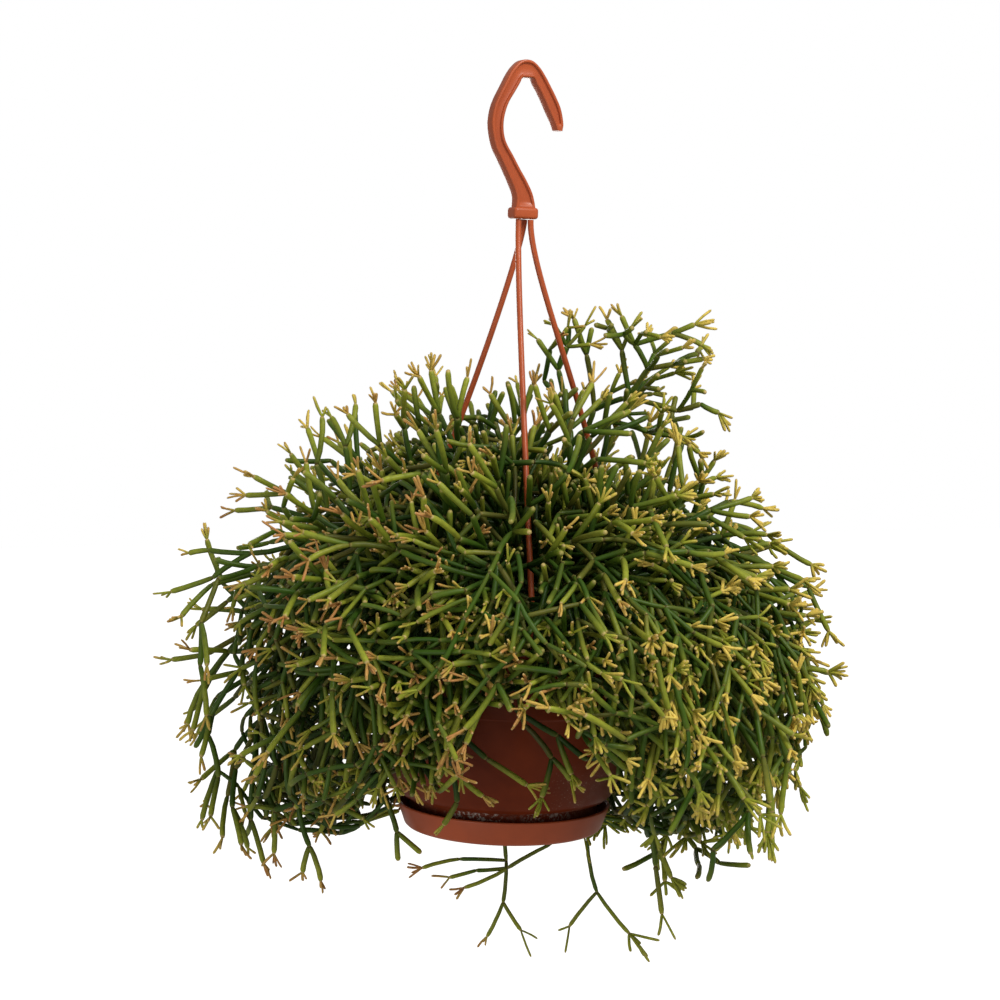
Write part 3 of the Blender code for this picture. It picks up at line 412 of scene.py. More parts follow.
def too_near_pot(points):
    """Whether each point is too near the pot, the saucer or the soil, or hangs under the saucer."""
    radius = np.hypot(points[..., 0], points[..., 1])
    height = points[..., 2]
    wall = np.interp(-height, [-h for h in POT_HEIGHTS], POT_RADII)
    beside = (height < RIM_TOP + POT_ROOM) & (height > SAUCER_BOTTOM - POT_ROOM) & (radius < wall + POT_ROOM)
    low = (height <= SAUCER_BOTTOM - POT_ROOM) & (height > SAUCER_BOTTOM - UNDER_DEPTH)
    return beside | low & (radius < UNDER_RADIUS)


def in_window(points):
    """Whether each point hangs before the open part of the pot's front."""
    across, back, height = seen(points)
    aside = np.abs(across - WINDOW_MIDDLE)
    floor = WINDOW_TOP - WINDOW_SLOPE * np.clip(aside - WINDOW_FLAT, 0, None)
    return (back < WINDOW_BACK) & (aside < WINDOW_HALF) & (height < floor)


def below_apron(points):
    """Whether each point hangs lower before the pot than the side shoots do."""
    across, back, height = seen(points)
    return (back < WINDOW_BACK) & (height < np.interp(across, APRON_PLACES, APRON_FLOORS))


def before_leg(points):
    """Whether each point hides a stretch of a leg that shows from the front."""
    across, back, height = seen(points)
    hides = np.zeros(height.shape, bool)
    for line, lowest in zip(LEG_LINES, LEG_SHOWN):
        aside = np.interp(-height, -line[:, 2], line @ ACROSS)
        ahead = np.interp(-height, -line[:, 2], line @ BACK) - back
        aside += (CAMERA_ASIDE - aside) * ahead / CAMERA_DISTANCE
        hides |= (height > lowest) & (ahead > 0) & (np.abs(across - aside) < LEG_CLEAR)
    return hides


def in_tuft(points):
    """Whether each point is in the tuft that stands up on the right."""
    across, back, height = seen(points)
    beside = (np.abs(across - TUFT_MIDDLE) < TUFT_HALF) & (np.abs(back - TUFT_BACK) < TUFT_DEPTH)
    top = TUFT_TOP - TUFT_SLOPE * np.clip(across - TUFT_MIDDLE, 0, None)
    return beside & (height < top) & (height > TUFT_BOTTOM)


def line_gaps(a, b, c, d):
    """The shortest distances from each line a-b, of k, to each line c-d, of m, as k by m."""
    u = (b - a)[:, None]
    v = (d - c)[None]
    w = a[:, None] - c[None]
    uu, uv, vv = (u * u).sum(2), (u * v).sum(2), (v * v).sum(2)
    uw, vw = (u * w).sum(2), (v * w).sum(2)
    det = uu * vv - uv * uv
    s = np.clip(np.where(det > TINY, (uv * vw - vv * uw) / np.maximum(det, TINY), 0), 0, 1)
    t = np.clip((uv * s + vw) / vv, 0, 1)
    s = np.clip((uv * t - uw) / uu, 0, 1)
    return norm(w + u * s[..., None] - v * t[..., None], axis=2)


class Segment:
    """One link of a stem, from the end of its parent."""

    def __init__(self, parent, start, end, stem, radius, youth=0.0):
        self.parent, self.start, self.end = parent, start, end
        self.stem, self.radius, self.youth = stem, radius, youth
        self.children = []
        if parent:
            parent.children.append(self)


class Thicket:
    """Every segment so far, in cells wide enough that a near one is in the same cell or the next."""

    def __init__(self):
        self.cells = {}
        self.all = []

    def add(self, segment):
        cell = tuple(np.floor((segment.start + segment.end) / 2 / CELL).astype(int))
        self.cells.setdefault(cell, []).append(segment)
        self.all.append(segment)
        return segment

    def near(self, middle):
        i, j, k = np.floor(middle / CELL).astype(int)
        cells = [(x, y, z) for x in (i - 1, i, i + 1) for y in (j - 1, j, j + 1) for z in (k - 1, k, k + 1)]
        return [segment for cell in cells for segment in self.cells.get(cell, ())]

    def room(self, start, ends, stem, skip=()):
        """For a segment from start to each end: the room to other stems, and to the rest of its own stem."""
        near = [s for s in self.near((start + ends.mean(0)) / 2) if s not in skip]
        if not near:
            return np.full(len(ends), FAR), np.full(len(ends), FAR)
        starts = np.repeat(start[None], len(ends), 0)
        gaps = line_gaps(starts, ends, np.array([s.start for s in near]), np.array([s.end for s in near]))
        gaps = gaps - np.array([s.radius for s in near])
        own = np.array([s.stem == stem for s in near])
        return np.where(own, FAR, gaps).min(1), np.where(own, gaps, FAR).min(1)


def fan(rng, lead, count, least, most):
    """Directions at random within a ring round the leading one."""
    side = unit(np.cross(lead, UP if abs(lead[2]) < STEEP else ACROSS))
    other = np.cross(lead, side)
    found = []
    for _ in range(count):
        tilt = radians(rng.uniform(least, most))
        turn = rng.uniform(0, 2 * pi)
        aside = side * cos(turn) + other * sin(turn)
        found.append(lead * cos(tilt) + aside * sin(tilt))
    return np.array(found)


def sprout(rng, thicket, parent, count, lengths, room, radius=STEM_RADIUS, edge=0.0, wander=WANDER,
           side=False):
    """Grow up to count children from a segment's end, each the freest of several tries."""
    start = parent.end
    along = unit(parent.end - parent.start)
    wish = flow(start)
    if side:
        wish = unit(wish + unit(start * (1, 1, 0)) * np.interp(start[2], LEAN_HEIGHTS, LEANS))
    lead = unit(along * (0.6 + 0.4 * wander) + wish * (0.4 - 0.3 * wander))
    made = []
    for _ in range(count):
        ways = fan(rng, lead, TURNS_TRIED, TURN_LEAST, TURN_MOST + TURN_FREE * wander)
        ends = start + ways * rng.uniform(*lengths)
        inside = crown_depth(ends) > edge
        if parent.stem in TUFT_STEMS:
            inside |= in_tuft(ends)
        good = (ways @ along > AHEAD_LEAST) & inside
        for child in parent.children:
            good &= ways @ unit(child.end - child.start) < SISTER_MOST
        points = start + (ends - start)[:, None] * np.array(LOOKED_AT)[:, None]
        kept_open = below_apron(points) | before_leg(points) if side else in_window(points)
        good &= ~(too_near_pot(points) | kept_open).any(1)
        if not good.any():
            continue
        others, own = thicket.room(start, ends, parent.stem, [parent] + parent.children)
        good &= (others > radius + room) & (own > radius + room)
        if not good.any():
            continue
        chance = np.array([rng.uniform(0, 5) for _ in range(TURNS_TRIED)])
        follow = 7 * (1 - wander) * ways @ wish
        score = np.minimum(others, ROOM_MOST) + 0.8 * np.minimum(own, ROOM_MOST) + follow + chance
        best = ends[int(np.argmax(np.where(good, score, -FAR)))]
        made.append(thicket.add(Segment(parent, start, best, parent.stem, radius)))
    return made


def shift(rng, size):
    return np.array([rng.uniform(-size, size) for _ in range(3)])


def trunk_line(rng, root, target):
    """A basal shoot from its root up and over towards its aim."""
    base = root + UP * ROOT_TOP
    root_angle = atan2(root[1], root[0])
    root_radius = hypot(root[0], root[1])
    angle = atan2(target[1], target[0])
    if target[2] > -210:
        end = base + (target - base) * 0.52
        first = base + UP * 22 + shift(rng, 4)
        second = base + (target - base) * 0.34 + UP * 8 + shift(rng, 6)
    elif target[2] > -280:
        end = ring(86, angle, -222 + (target[2] + 238) * 0.4) + shift(rng, 5)
        first = ring(root_radius + 4, root_angle, -244) + shift(rng, 4)
        second = ring(root_radius + 22, (root_angle + angle) / 2, -226) + shift(rng, 5)
    else:
        end = ring(110, angle, -262 if target[2] > -340 else -284) + shift(rng, 5)
        first = ring(root_radius + 5, root_angle, -232 + rng.uniform(-8, 8)) + shift(rng, 3)
        second = ring(104, angle, -226 + rng.uniform(-6, 8)) + shift(rng, 4)
    count = max(2, round(norm(end - base) * 1.15 / STRAIGHT))
    return np.vstack([root + UP * ROOT_BOTTOM, curve(base, first, second, end, count)])


def line_room(thicket, points, stem):
    """The least room along a line of points, none where it meets the pot."""
    room = FAR
    for k in range(len(points) - 1):
        others, _ = thicket.room(points[k], points[k + 1][None], stem)
        room = min(room, others[0])
        steps = points[k] + (points[k + 1] - points[k]) * np.linspace(0.2, 1, 5)[:, None]
        if k and too_near_pot(steps).any():
            room = 0.0
    return room


def add_line(thicket, parent, points, stem, radius=STEM_RADIUS):
    for start, end in zip(points, points[1:]):
        parent = thicket.add(Segment(parent, start, end, stem, radius))
    return parent


def guided_stem(thicket, stem, plan):
    """A shoot along a given line, with its side limbs."""
    (across, back), line, limbs = plan
    root = [place(across, back, ROOT_BOTTOM), place(across, back, ROOT_TOP)]
    add_line(thicket, None, root + [place(*p) for p in line], stem)
    for limb in limbs:
        points = [place(*p) for p in limb]
        own = [s for s in thicket.all if s.stem == stem]
        joint = min(own, key=lambda s: norm(s.end - points[0]))
        add_line(thicket, joint, points, stem)


def free_stem(rng, thicket, stem, root_radius, angle, target):
    """A shoot that aims for its place in the crown, on the clearest of several lines."""
    best, most = None, -FAR
    for _ in range(TRUNKS_TRIED):
        root = ring(root_radius + rng.uniform(-3, 3), angle + rng.uniform(-0.15, 0.15), 0)
        points = trunk_line(rng, root, target)
        room = line_room(thicket, points, stem)
        if room > most:
            best, most = points, room
        if room > STEM_RADIUS + 4:
            break
    return add_line(thicket, None, best, stem)


def grow_stems():
    """The whole framework: the thicket, and how many stems it has."""
    rng = random.Random(SEED)
    thicket = Thicket()
    for leg in LEGS:
        add_line(thicket, None, leg_curve(leg, 10), -1, LEG_RADIUS)
    for stem, plan in enumerate(GUIDED):
        guided_stem(thicket, stem, plan)
    stems = len(GUIDED)
    lives = {}
    tips = []
    for count, radius, height, root_radius, turn, life in ROWS:
        for k in range(count):
            angle = 2 * pi * (k + turn + rng.uniform(-0.15, 0.15)) / count
            target = ring(radius, angle, height)
            if in_window(target):
                target = ring(138, angle, -262 + rng.uniform(-10, 10))
            end = free_stem(rng, thicket, stems, root_radius, angle, target)
            tips += [end, end.parent]
            lives[stems] = life
            stems += 1
    for generation in range(max(lives.values())):
        rng.shuffle(tips)
        grown = []
        for tip in tips:
            if crown_depth(tip.end[None])[0] < CROWN_EDGE or generation >= lives[tip.stem]:
                continue
            wanted = 2 if generation < 3 or rng.random() < 0.5 else 1
            wanted -= len(tip.children)
            grown += sprout(rng, thicket, tip, wanted, SEGMENT, STEM_ROOM)
        tips = grown
    return thicket, stems


def fill_crown(rng, thicket):
    """Side shoots from every joint, round after round, until the crown is full."""
    tips = [s for s in thicket.all if s.stem >= 0 and s.parent and s.end[2] > ROOT_TOP - 150]
    reach = {s.stem: rng.uniform(*FILL_REACH) for s in thicket.all}
    for round_number in range(FILL_ROUNDS):
        rng.shuffle(tips)
        grown = []
        for tip in tips:
            if len(thicket.all) > FILL_MOST:
                return
            wanted = rng.choice(FILL_FORKS) - max(0, len(tip.children) - 1)
            lengths = FILL_LENGTH
            if tip.stem in TUFT_STEMS and in_tuft(tip.end[None])[0]:
                wanted = TUFT_WANTED[round_number] if round_number < len(TUFT_WANTED) else 0
                lengths = TUFT_LENGTH
            radius = FILL_RADIUS * rng.uniform(*FILL_SIZES)
            edge = reach[tip.stem] * np.interp(tip.end[2], EDGE_HEIGHTS, EDGE_DEPTHS)
            to_right = unit(tip.end * (1, 1, 0)) @ ACROSS
            aside = RIGHT_DEPTHS if to_right > 0 else LEFT_DEPTHS
            edge += abs(to_right) * np.interp(tip.end[2], EDGE_HEIGHTS, aside)
            across, back, height = seen(tip.end)
            in_heart = hypot(tip.end[0], tip.end[1]) < HEART_RADIUS and height < HEART_TOP
            at_brim = BRIM_BOTTOM < height < BRIM_TOP and back < BRIM_BACK and abs(across) < BRIM_HALF
            if in_heart or at_brim:
                wanted += 1
            wander = 1.0 if in_heart else FILL_WANDER
            grown += sprout(rng, thicket, tip, wanted, lengths, FILL_ROOM, radius, edge, wander, True)
        tips = grown


def add_whorls(rng, thicket, main_ends):
    """Short young segments round the ends of the shoots that reach the light."""
    ends = [s for s in thicket.all if s.stem >= 0 and not s.children]
    depths = crown_depth(np.array([s.end for s in ends]))
    for tip, depth in zip(ends, depths):
        across, _, height = seen(tip.end)
        on_right = across > 0
        likely = np.interp(across, WHORL_PLACES, WHORL_CHANCES)
        likely *= np.interp(depth, WHORL_DEPTHS, (1.0, DEEP_RIGHT if on_right else DEEP_LEFT))
        if on_right or height > WHORL_HEIGHTS[2]:
            likely *= np.interp(height, WHORL_HEIGHTS, WHORL_SHARES)
        if tip in main_ends:
            likely = 1.0
        young = rng.uniform(0.5, 1.0)
        tip.youth = 0.30 * young * rng.random()
        if rng.random() > likely:
            continue
        tip.youth = 0.34 * young
        along = unit(tip.end - tip.start)
        count = rng.choice(MANY_TIPS if across > MANY_FROM else FEW_TIPS)
        radius = np.interp(across, WHORL_PLACES, WHORL_RADII)
        size = rng.uniform(*WHORL_SIZES)
        if on_right:
            young = max(TIP_YOUTH, young * np.interp(height, GREEN_HEIGHTS, GREEN_SHARES))
            size *= np.interp(height, GREEN_HEIGHTS, FORK_SIZES)
        for way in fan(rng, along, count, *WHORL_SPREAD):
            end = tip.end + way * rng.uniform(*WHORL_LENGTH) * size
            if too_near_pot(end[None])[0] or before_leg(end[None])[0]:
                continue
            thicket.add(Segment(tip, tip.end, end, tip.stem, radius * rng.uniform(0.8, 1.15), young))


# meshes


def add_object(name, data):
    obj = bpy.data.objects.new(name, data)
    bpy.context.scene.collection.objects.link(obj)
    return obj


def finished(work):
    """The mesh that a bmesh has become, for one piece or for a part of it."""
    mesh = bpy.data.meshes.new("fine")
    work.to_mesh(mesh)
    work.free()
    return mesh


def new_piece(node, mesh, surface):
    """The finer piece that takes a node's place."""
    mesh.materials.clear()
    mesh.materials.append(surface)
    obj = add_object(f"{node}_fine", mesh)
    mesh.name = obj.name
    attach(obj, "root")
    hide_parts(node)
    return obj


def tube_set(segments, profile, sides, rng):
    """Closed, slightly bowed tubes: points, faces, and how each vertex looks."""
    count = len(segments)
    start = np.array([s.start for s in segments])
    end = np.array([s.end for s in segments])
    radius = np.array([s.radius for s in segments])
    bow_turn = np.array([rng.uniform(0, 2 * pi) for _ in segments])
    bow_size = np.array([rng.uniform(LEAST_BOW, MOST_BOW) for _ in segments])
    along = end - start
    length = norm(along, axis=1)
    along /= length[:, None]
    helper = np.where(np.abs(along[:, 2:]) < STEEP, UP, ACROSS)
    side = np.cross(along, helper)
    side /= norm(side, axis=1)[:, None]
    other = np.cross(along, side)
    bow = side * np.cos(bow_turn)[:, None] + other * np.sin(bow_turn)[:, None]
    rings = len(profile)
    turns = np.arange(sides) * 2 * pi / sides
    ring_way = side[:, None] * np.cos(turns)[None, :, None] + other[:, None] * np.sin(turns)[None, :, None]
    points = np.empty((count, rings * sides + 2, 3))
    looks = np.empty((count, rings * sides + 2, 4))
    looks[:, :, 1] = np.array([s.youth for s in segments])[:, None]
    looks[:, :, 2] = np.array([rng.random() for _ in segments])[:, None]
    # the last look is how deep inside the crown the segment lies, which darkens its colour as painted shade
    looks[:, :, 3] = np.clip(crown_depth((start + end) / 2) / SHADE_DEPTH, 0, 1)[:, None]
    for k, (at, size) in enumerate(profile):
        sag = length * bow_size * 4 * at * (1 - at)
        middle = start + along * (length * at)[:, None] + bow * sag[:, None]
        rows = slice(k * sides, (k + 1) * sides)
        points[:, rows] = middle[:, None] + ring_way * (radius * size)[:, None, None]
        looks[:, rows, 0] = at
    points[:, -2] = start - along * (radius * ROOT_CAP)[:, None]
    points[:, -1] = end + along * (radius * TIP_CAP)[:, None]
    looks[:, -2, 0] = 0.0
    looks[:, -1, 0] = 1.0
    last = (rings - 1) * sides
    pairs = [(i, (i + 1) % sides) for i in range(sides)]
    quads = [(a + i, a + j, a + sides + j, a + sides + i) for a in range(0, last, sides) for i, j in pairs]
    caps = [cap for i, j in pairs for cap in ((j, i, rings * sides), (last + i, last + j, rings * sides + 1))]
    step = (np.arange(count) * points.shape[1])[:, None, None]
    all_quads = (np.array(quads)[None] + step).reshape(-1, 4)
    all_caps = (np.array(caps)[None] + step).reshape(-1, 3)
    return points.reshape(-1, 3) * MM, all_quads, all_caps, looks.reshape(-1, 4)


def join_sets(sets):
    """Several sets of tubes as one."""
    before = np.cumsum([0] + [len(points) for points, *_ in sets])
    points, looks = (np.vstack([part[k] for part in sets]) for k in (0, 3))
    quads, caps = (np.vstack([part[k] + first for part, first in zip(sets, before)]) for k in (1, 2))
    return points, quads, caps, looks


def make_stems(surface):
    thicket, stems = grow_stems()
    main_shoots = list(thicket.all)
    rng = random.Random(SEED + 1)
    fill_crown(rng, thicket)
    for segment in main_shoots:
        segment.radius *= TRAIL_SHARE if segment.stem in TRAILING else MAIN_SHARE
    main_ends = {s for s in main_shoots if s.stem < len(GUIDED) and not s.children}
    add_whorls(rng, thicket, main_ends)
    for stem in range(stems):
        own = [s for s in thicket.all if s.stem == stem]
        depths = crown_depth(np.array([(s.start + s.end) / 2 for s in own]))
        outer, hidden, young = [], [], []
        for segment, depth in zip(own, depths):
            kept = young if segment.youth >= TIP_YOUTH else hidden if depth > INNER_DEPTH else outer
            kept.append(segment)
        groups = ((outer, SEGMENT_RINGS, SEGMENT_SIDES), (hidden, SEGMENT_RINGS, INNER_SIDES),
                  (young, TIP_RINGS, TIP_SIDES))
        points, quads, caps, looks = join_sets([tube_set(*group, rng) for group in groups if group[0]])
        mesh = bpy.data.meshes.new("fine")
        mesh.from_pydata(points, (), [*quads.tolist(), *caps.tolist()])
        mesh.validate()
        growth = mesh.attributes.new("growth", "FLOAT_VECTOR", "POINT")
        growth.data.foreach_set("vector", looks[:, :3].ravel())
        # how deep inside the crown each vertex lies, which the stems' colour reads for painted shade
        inner = mesh.attributes.new("inner", "FLOAT", "POINT")
        inner.data.foreach_set("value", looks[:, 3].copy())
        mesh.shade_smooth()
        new_piece(f"stem_{stem + 1:02d}", mesh, surface)


def loft(work, pairs):
    """Faces between each pair of rows of vertices, a row of one being a point."""
    for upper, lower in pairs:
        steps = max(len(upper), len(lower))
        for k in range(steps):
            after = (k + 1) % steps
            if len(upper) == 1:
                work.faces.new((upper[0], lower[after], lower[k]))
            elif len(lower) == 1:
                work.faces.new((upper[k], upper[after], lower[0]))
            else:
                work.faces.new((upper[k], upper[after], lower[after], lower[k]))


def lathe(profile, steps):
    """A solid turned about Z from (radius, height) points, which close up or start and end on the axis."""
    work = bmesh.new()
    turns = [2 * pi * k / steps for k in range(steps)]
    rows = []
    for radius, height in profile:
        rows.append([work.verts.new((radius * MM * cos(t), radius * MM * sin(t), height * MM))
                     for t in turns[:steps if radius else 1]])
    pairs = list(zip(rows, rows[1:]))
    if len(rows[0]) > 1:
        pairs.append((rows[-1], rows[0]))
    loft(work, pairs)
    bmesh.ops.recalc_face_normals(work, faces=work.faces)
    return work


def rounded(profile, steps=3):
    """The profile with each corner that turns sharply replaced by a small arc."""
    points = [np.array(p, float) for p in profile]
    result = []
    for k, point in enumerate(points):
        to, off = points[k - 1] - point, points[(k + 1) % len(points)] - point
        near, far = norm(to), norm(off)
        if point[0] == 0 or near < TINY or far < TINY or abs(to @ off) > NEARLY_STRAIGHT * near * far:
            result.append(tuple(point))
            continue
        cut = min(CORNER, near * 0.4, far * 0.4)
        a, b = point + to / near * cut, point + off / far * cut
        for i in range(steps + 1):
            t = i / steps
            result.append(tuple((1 - t) ** 2 * a + 2 * (1 - t) * t * point + t * t * b))
    return result


def evaluated(obj, *helpers):
    """The mesh that an object's curve or modifiers make, after which the helping objects go."""
    bpy.context.view_layer.update()
    mesh = bpy.data.meshes.new_from_object(obj.evaluated_get(bpy.context.evaluated_depsgraph_get()))
    for helper in helpers:
        bpy.data.objects.remove(helper)
    return mesh


def cut_holes(obj, cutters):
    for cutter in cutters:
        modifier = obj.modifiers.new("hole", "BOOLEAN")
        modifier.object = cutter
        modifier.solver = "EXACT"
    mesh = evaluated(obj, *cutters)
    obj.modifiers.clear()
    obj.data = mesh


def peg(centre, radius, bottom, top):
    work = bmesh.new()
    matrix = Matrix.Translation(Vector((centre[0], centre[1], (bottom + top) / 2)) * MM)
    bmesh.ops.create_cone(work, cap_ends=True, segments=HOLE_STEPS, radius1=radius * MM, radius2=radius * MM,
                          depth=(top - bottom) * MM, matrix=matrix)
    return add_object("peg", finished(work))


def sharp_smooth(mesh, degrees=32):
    mesh.shade_smooth()
    mesh.set_sharp_from_angle(angle=radians(degrees))
    return mesh


def make_pot(surface):
    inside, rim, under = POT_INSIDE[0][0], RIM_RADIUS, RIM_TOP - FLANGE
    foot, hole, floor = FOOT_RADIUS - WALL, SNAP_RADIUS + 0.5, POT_FLOOR - WALL
    profile = ((inside, RIM_TOP), (rim - 0.6, RIM_TOP), (rim, RIM_TOP - 0.7), (rim, -275.0),
               (rim - 0.5, -275.5), (rim - 0.7, -288.2), (rim - 0.2, -288.8), (rim - 0.2, -291.5),
               (rim - 0.6, SKIRT_BOTTOM), (rim - 1.8, SKIRT_BOTTOM), (rim - 1.8, under),
               (inside + 1.8, under), (inside + 1.6, -304.0), (inside + 0.9, -304.8), (64.0, -324.0),
               (58.8, -338.0), (55.3, -347.6), (53.9, -350.4), (51.2, -352.8), (FOOT_RADIUS + 0.3, -353.6),
               (FOOT_RADIUS, FOOT_BOTTOM), (foot, FOOT_BOTTOM), (foot, floor), (hole, floor),
               (hole, POT_FLOOR), (foot, POT_FLOOR)) + POT_INSIDE[::-1]
    pot = new_piece("pot", finished(lathe(rounded(profile), FINE_STEPS)), surface)
    holes = [peg(place(*leg[3]), LUG_HOLE_RADIUS, under - 1, RIM_TOP + 1) for leg in LEGS]
    for k in range(DRAINS):
        middle = ring(DRAIN_RING, 2 * pi * (k + 0.5) / DRAINS, 0)
        holes.append(peg(middle, DRAIN_RADIUS, floor - 1, POT_FLOOR + 1))
    cut_holes(pot, holes)
    sharp_smooth(pot.data)


def make_saucer(surface):
    head, chamfer, above = SNAP_HEAD_RADIUS, 1.2, POT_FLOOR + GAP
    profile = ((0, SNAP_HEAD_TOP), (head - chamfer, SNAP_HEAD_TOP), (head, SNAP_HEAD_TOP - chamfer),
               (head, above), (SNAP_RADIUS, above), (SNAP_RADIUS, SAUCER_FLOOR),
               (FOOT_RADIUS + 0.6, SAUCER_FLOOR), (48.4, -366.2), (49.6, -363.6), (51.3, LIP_TOP - 0.4),
               (51.9, LIP_TOP), (LIP_RADIUS - 0.4, LIP_TOP), (LIP_RADIUS, LIP_TOP - 0.6), (49.3, -367.6),
               (48.0, SAUCER_BOTTOM), (0, SAUCER_BOTTOM))
    mesh = sharp_smooth(finished(lathe(rounded(profile), FINE_STEPS)))
    new_piece("saucer", mesh, surface)


def soil_height(x, y):
    """How far the soil's top lies above or below its level, in gentle lumps."""
    return SOIL_LUMP * (sin(0.11 * x + 0.5) * cos(0.13 * y) + 0.6 * sin(0.21 * y - 0.16 * x))


def make_soil(surface):
    side = [(radius - SOIL_GAP, height + GAP) for radius, height in POT_INSIDE]
    head_room = SNAP_HEAD_RADIUS + GAP
    tops = [(r, SOIL_TOP) for r in np.arange(0, SOIL_REACH, 2.0)]
    profile = (*tops, (side[0][0], SOIL_TOP - 1), *side, (side[-1][0], POT_FLOOR + GAP),
               (head_room, POT_FLOOR + GAP), (head_room, SNAP_HEAD_TOP + GAP), (0, SNAP_HEAD_TOP + GAP))
    work = lathe(profile, SOIL_STEPS)
    rng = random.Random(SEED + 2)
    for vertex in work.verts:
        if vertex.co.z > (SOIL_TOP - 0.5) * MM:
            vertex.co.z += (soil_height(vertex.co.x / MM, vertex.co.y / MM) + rng.uniform(-0.35, 0.35)) * MM
    for _ in range(CRUMBS):
        radius, turn = SOIL_REACH * sqrt(rng.random()), rng.uniform(0, 2 * pi)
        x, y = radius * cos(turn), radius * sin(turn)
        size = rng.uniform(*CRUMB_SIZES)
        spot = Matrix.Translation(Vector((x, y, SOIL_TOP + soil_height(x, y) + size * 0.3)) * MM)
        squash = Matrix.Diagonal((rng.uniform(0.7, 1.4), rng.uniform(0.7, 1.4), rng.uniform(0.5, 1.0), 1))
        turned = Matrix.Rotation(rng.uniform(0, 6), 4, "Z") @ Matrix.Rotation(rng.uniform(-0.6, 0.6), 4, "X")
        bmesh.ops.create_icosphere(work, subdivisions=1, radius=size * MM, matrix=spot @ turned @ squash)
    new_piece("potting_soil", sharp_smooth(finished(work), 50), surface)


def spaced(points, count):
    """Points at even steps along a smooth line through the given ones."""
    points = np.array(points, float)
    padded = np.vstack([2 * points[0] - points[1], points, 2 * points[-1] - points[-2]])
    fine = []
    for k in range(len(points) - 1):
        a, b, c, d = padded[k:k + 4]
        for t in np.linspace(0, 1, 12, endpoint=False):
            fine.append(0.5 * (2 * b + (c - a) * t + (2 * a - 5 * b + 4 * c - d) * t * t
                               + (3 * b - a - 3 * c + d) * t ** 3))
    fine = np.array([*fine, points[-1]])
    far = np.concatenate([[0], np.cumsum(norm(np.diff(fine, axis=0), axis=1))])
    at = np.linspace(0, far[-1], count)
    return np.stack([np.interp(at, far, fine[:, k]) for k in range(fine.shape[1])], 1)


def make_hook(surface):
    """A plate with rounded edges and a recess in both faces, lofted over its ribs, and its collar."""
    half = HOOK_THICKNESS / 2
    ribs = spaced(HOOK_RIBS, HOOK_STEPS)
    work = bmesh.new()
    loops = []
    for rib in ribs:
        out, into = rib[:2], rib[2:]
        width = norm(into - out)
        way = (into - out) / width
        from_tip = (norm(out - ribs[0][:2]) - RECESS_TIP) / RECESS_RAMP
        from_base = (abs(rib[1] - ribs[-1][1]) - RECESS_BASE) / RECESS_RAMP
        sink = HOOK_RECESS * min(1.0, max(0.0, from_tip), max(0.0, from_base))
        rim = min(HOOK_RIM, width * 0.3)
        face = [(0.0, half - 0.7), (0.12, half - 0.3), (0.4, half - 0.06), (0.75, half), (rim - 0.15, half),
                (rim + 0.05, half - 0.15 * sink), (rim + 0.2, half - 0.9 * sink), (rim + 0.4, half - sink)]
        front = face + [(width / 2, half - sink)] + [(width - s, y) for s, y in face[::-1]]
        loop = front + [(s, -y) for s, y in front[::-1]]
        loops.append([work.verts.new(Vector((*(out + way * s), 0)).xzy * MM + Vector((0, y * MM, 0)))
                      for s, y in loop])
    loft(work, zip(loops, loops[1:]))
    work.faces.new(loops[0][::-1])
    work.faces.new(loops[-1])
    collar = bmesh.new()
    size = np.array((COLLAR_RIGHT - COLLAR_LEFT, COLLAR_DEPTH, COLLAR_TOP - COLLAR_BOTTOM)) * MM
    middle = Vector(((COLLAR_LEFT + COLLAR_RIGHT) / 2, 0, (COLLAR_TOP + COLLAR_BOTTOM) / 2)) * MM
    bmesh.ops.create_cube(collar, size=1, matrix=Matrix.Translation(middle) @ Matrix.Diagonal((*size, 1)))
    bmesh.ops.bevel(collar, geom=collar.edges[:], offset=COLLAR_ROUND * MM, segments=5, profile=0.6,
                    affect="EDGES")
    work.from_mesh(finished(collar))
    bmesh.ops.recalc_face_normals(work, faces=work.faces)
    new_piece("hanger_hook", sharp_smooth(finished(work), 40), surface)


def make_legs(surface):
    for name, leg in zip(LEG_NAMES, LEGS):
        points = list(leg_curve(leg, LEG_STEPS))
        sizes = [1.0] * len(points)
        for height, size in LEG_END:
            points.append(np.array([points[-1][0], points[-1][1], height]))
            sizes.append(size)
        data = bpy.data.curves.new("leg_line", "CURVE")
        data.dimensions = "3D"
        data.bevel_depth = LEG_RADIUS * MM
        data.bevel_resolution = 4
        data.use_fill_caps = True
        spline = data.splines.new("POLY")
        spline.points.add(len(points) - 1)
        for point, co, size in zip(spline.points, points, sizes):
            point.co = (*(co * MM), 1)
            point.radius = size
        line = add_object("leg_line", data)
        mesh = sharp_smooth(evaluated(line, line), 50)
        new_piece(f"hanger_leg_{name}", mesh, surface)


# materials


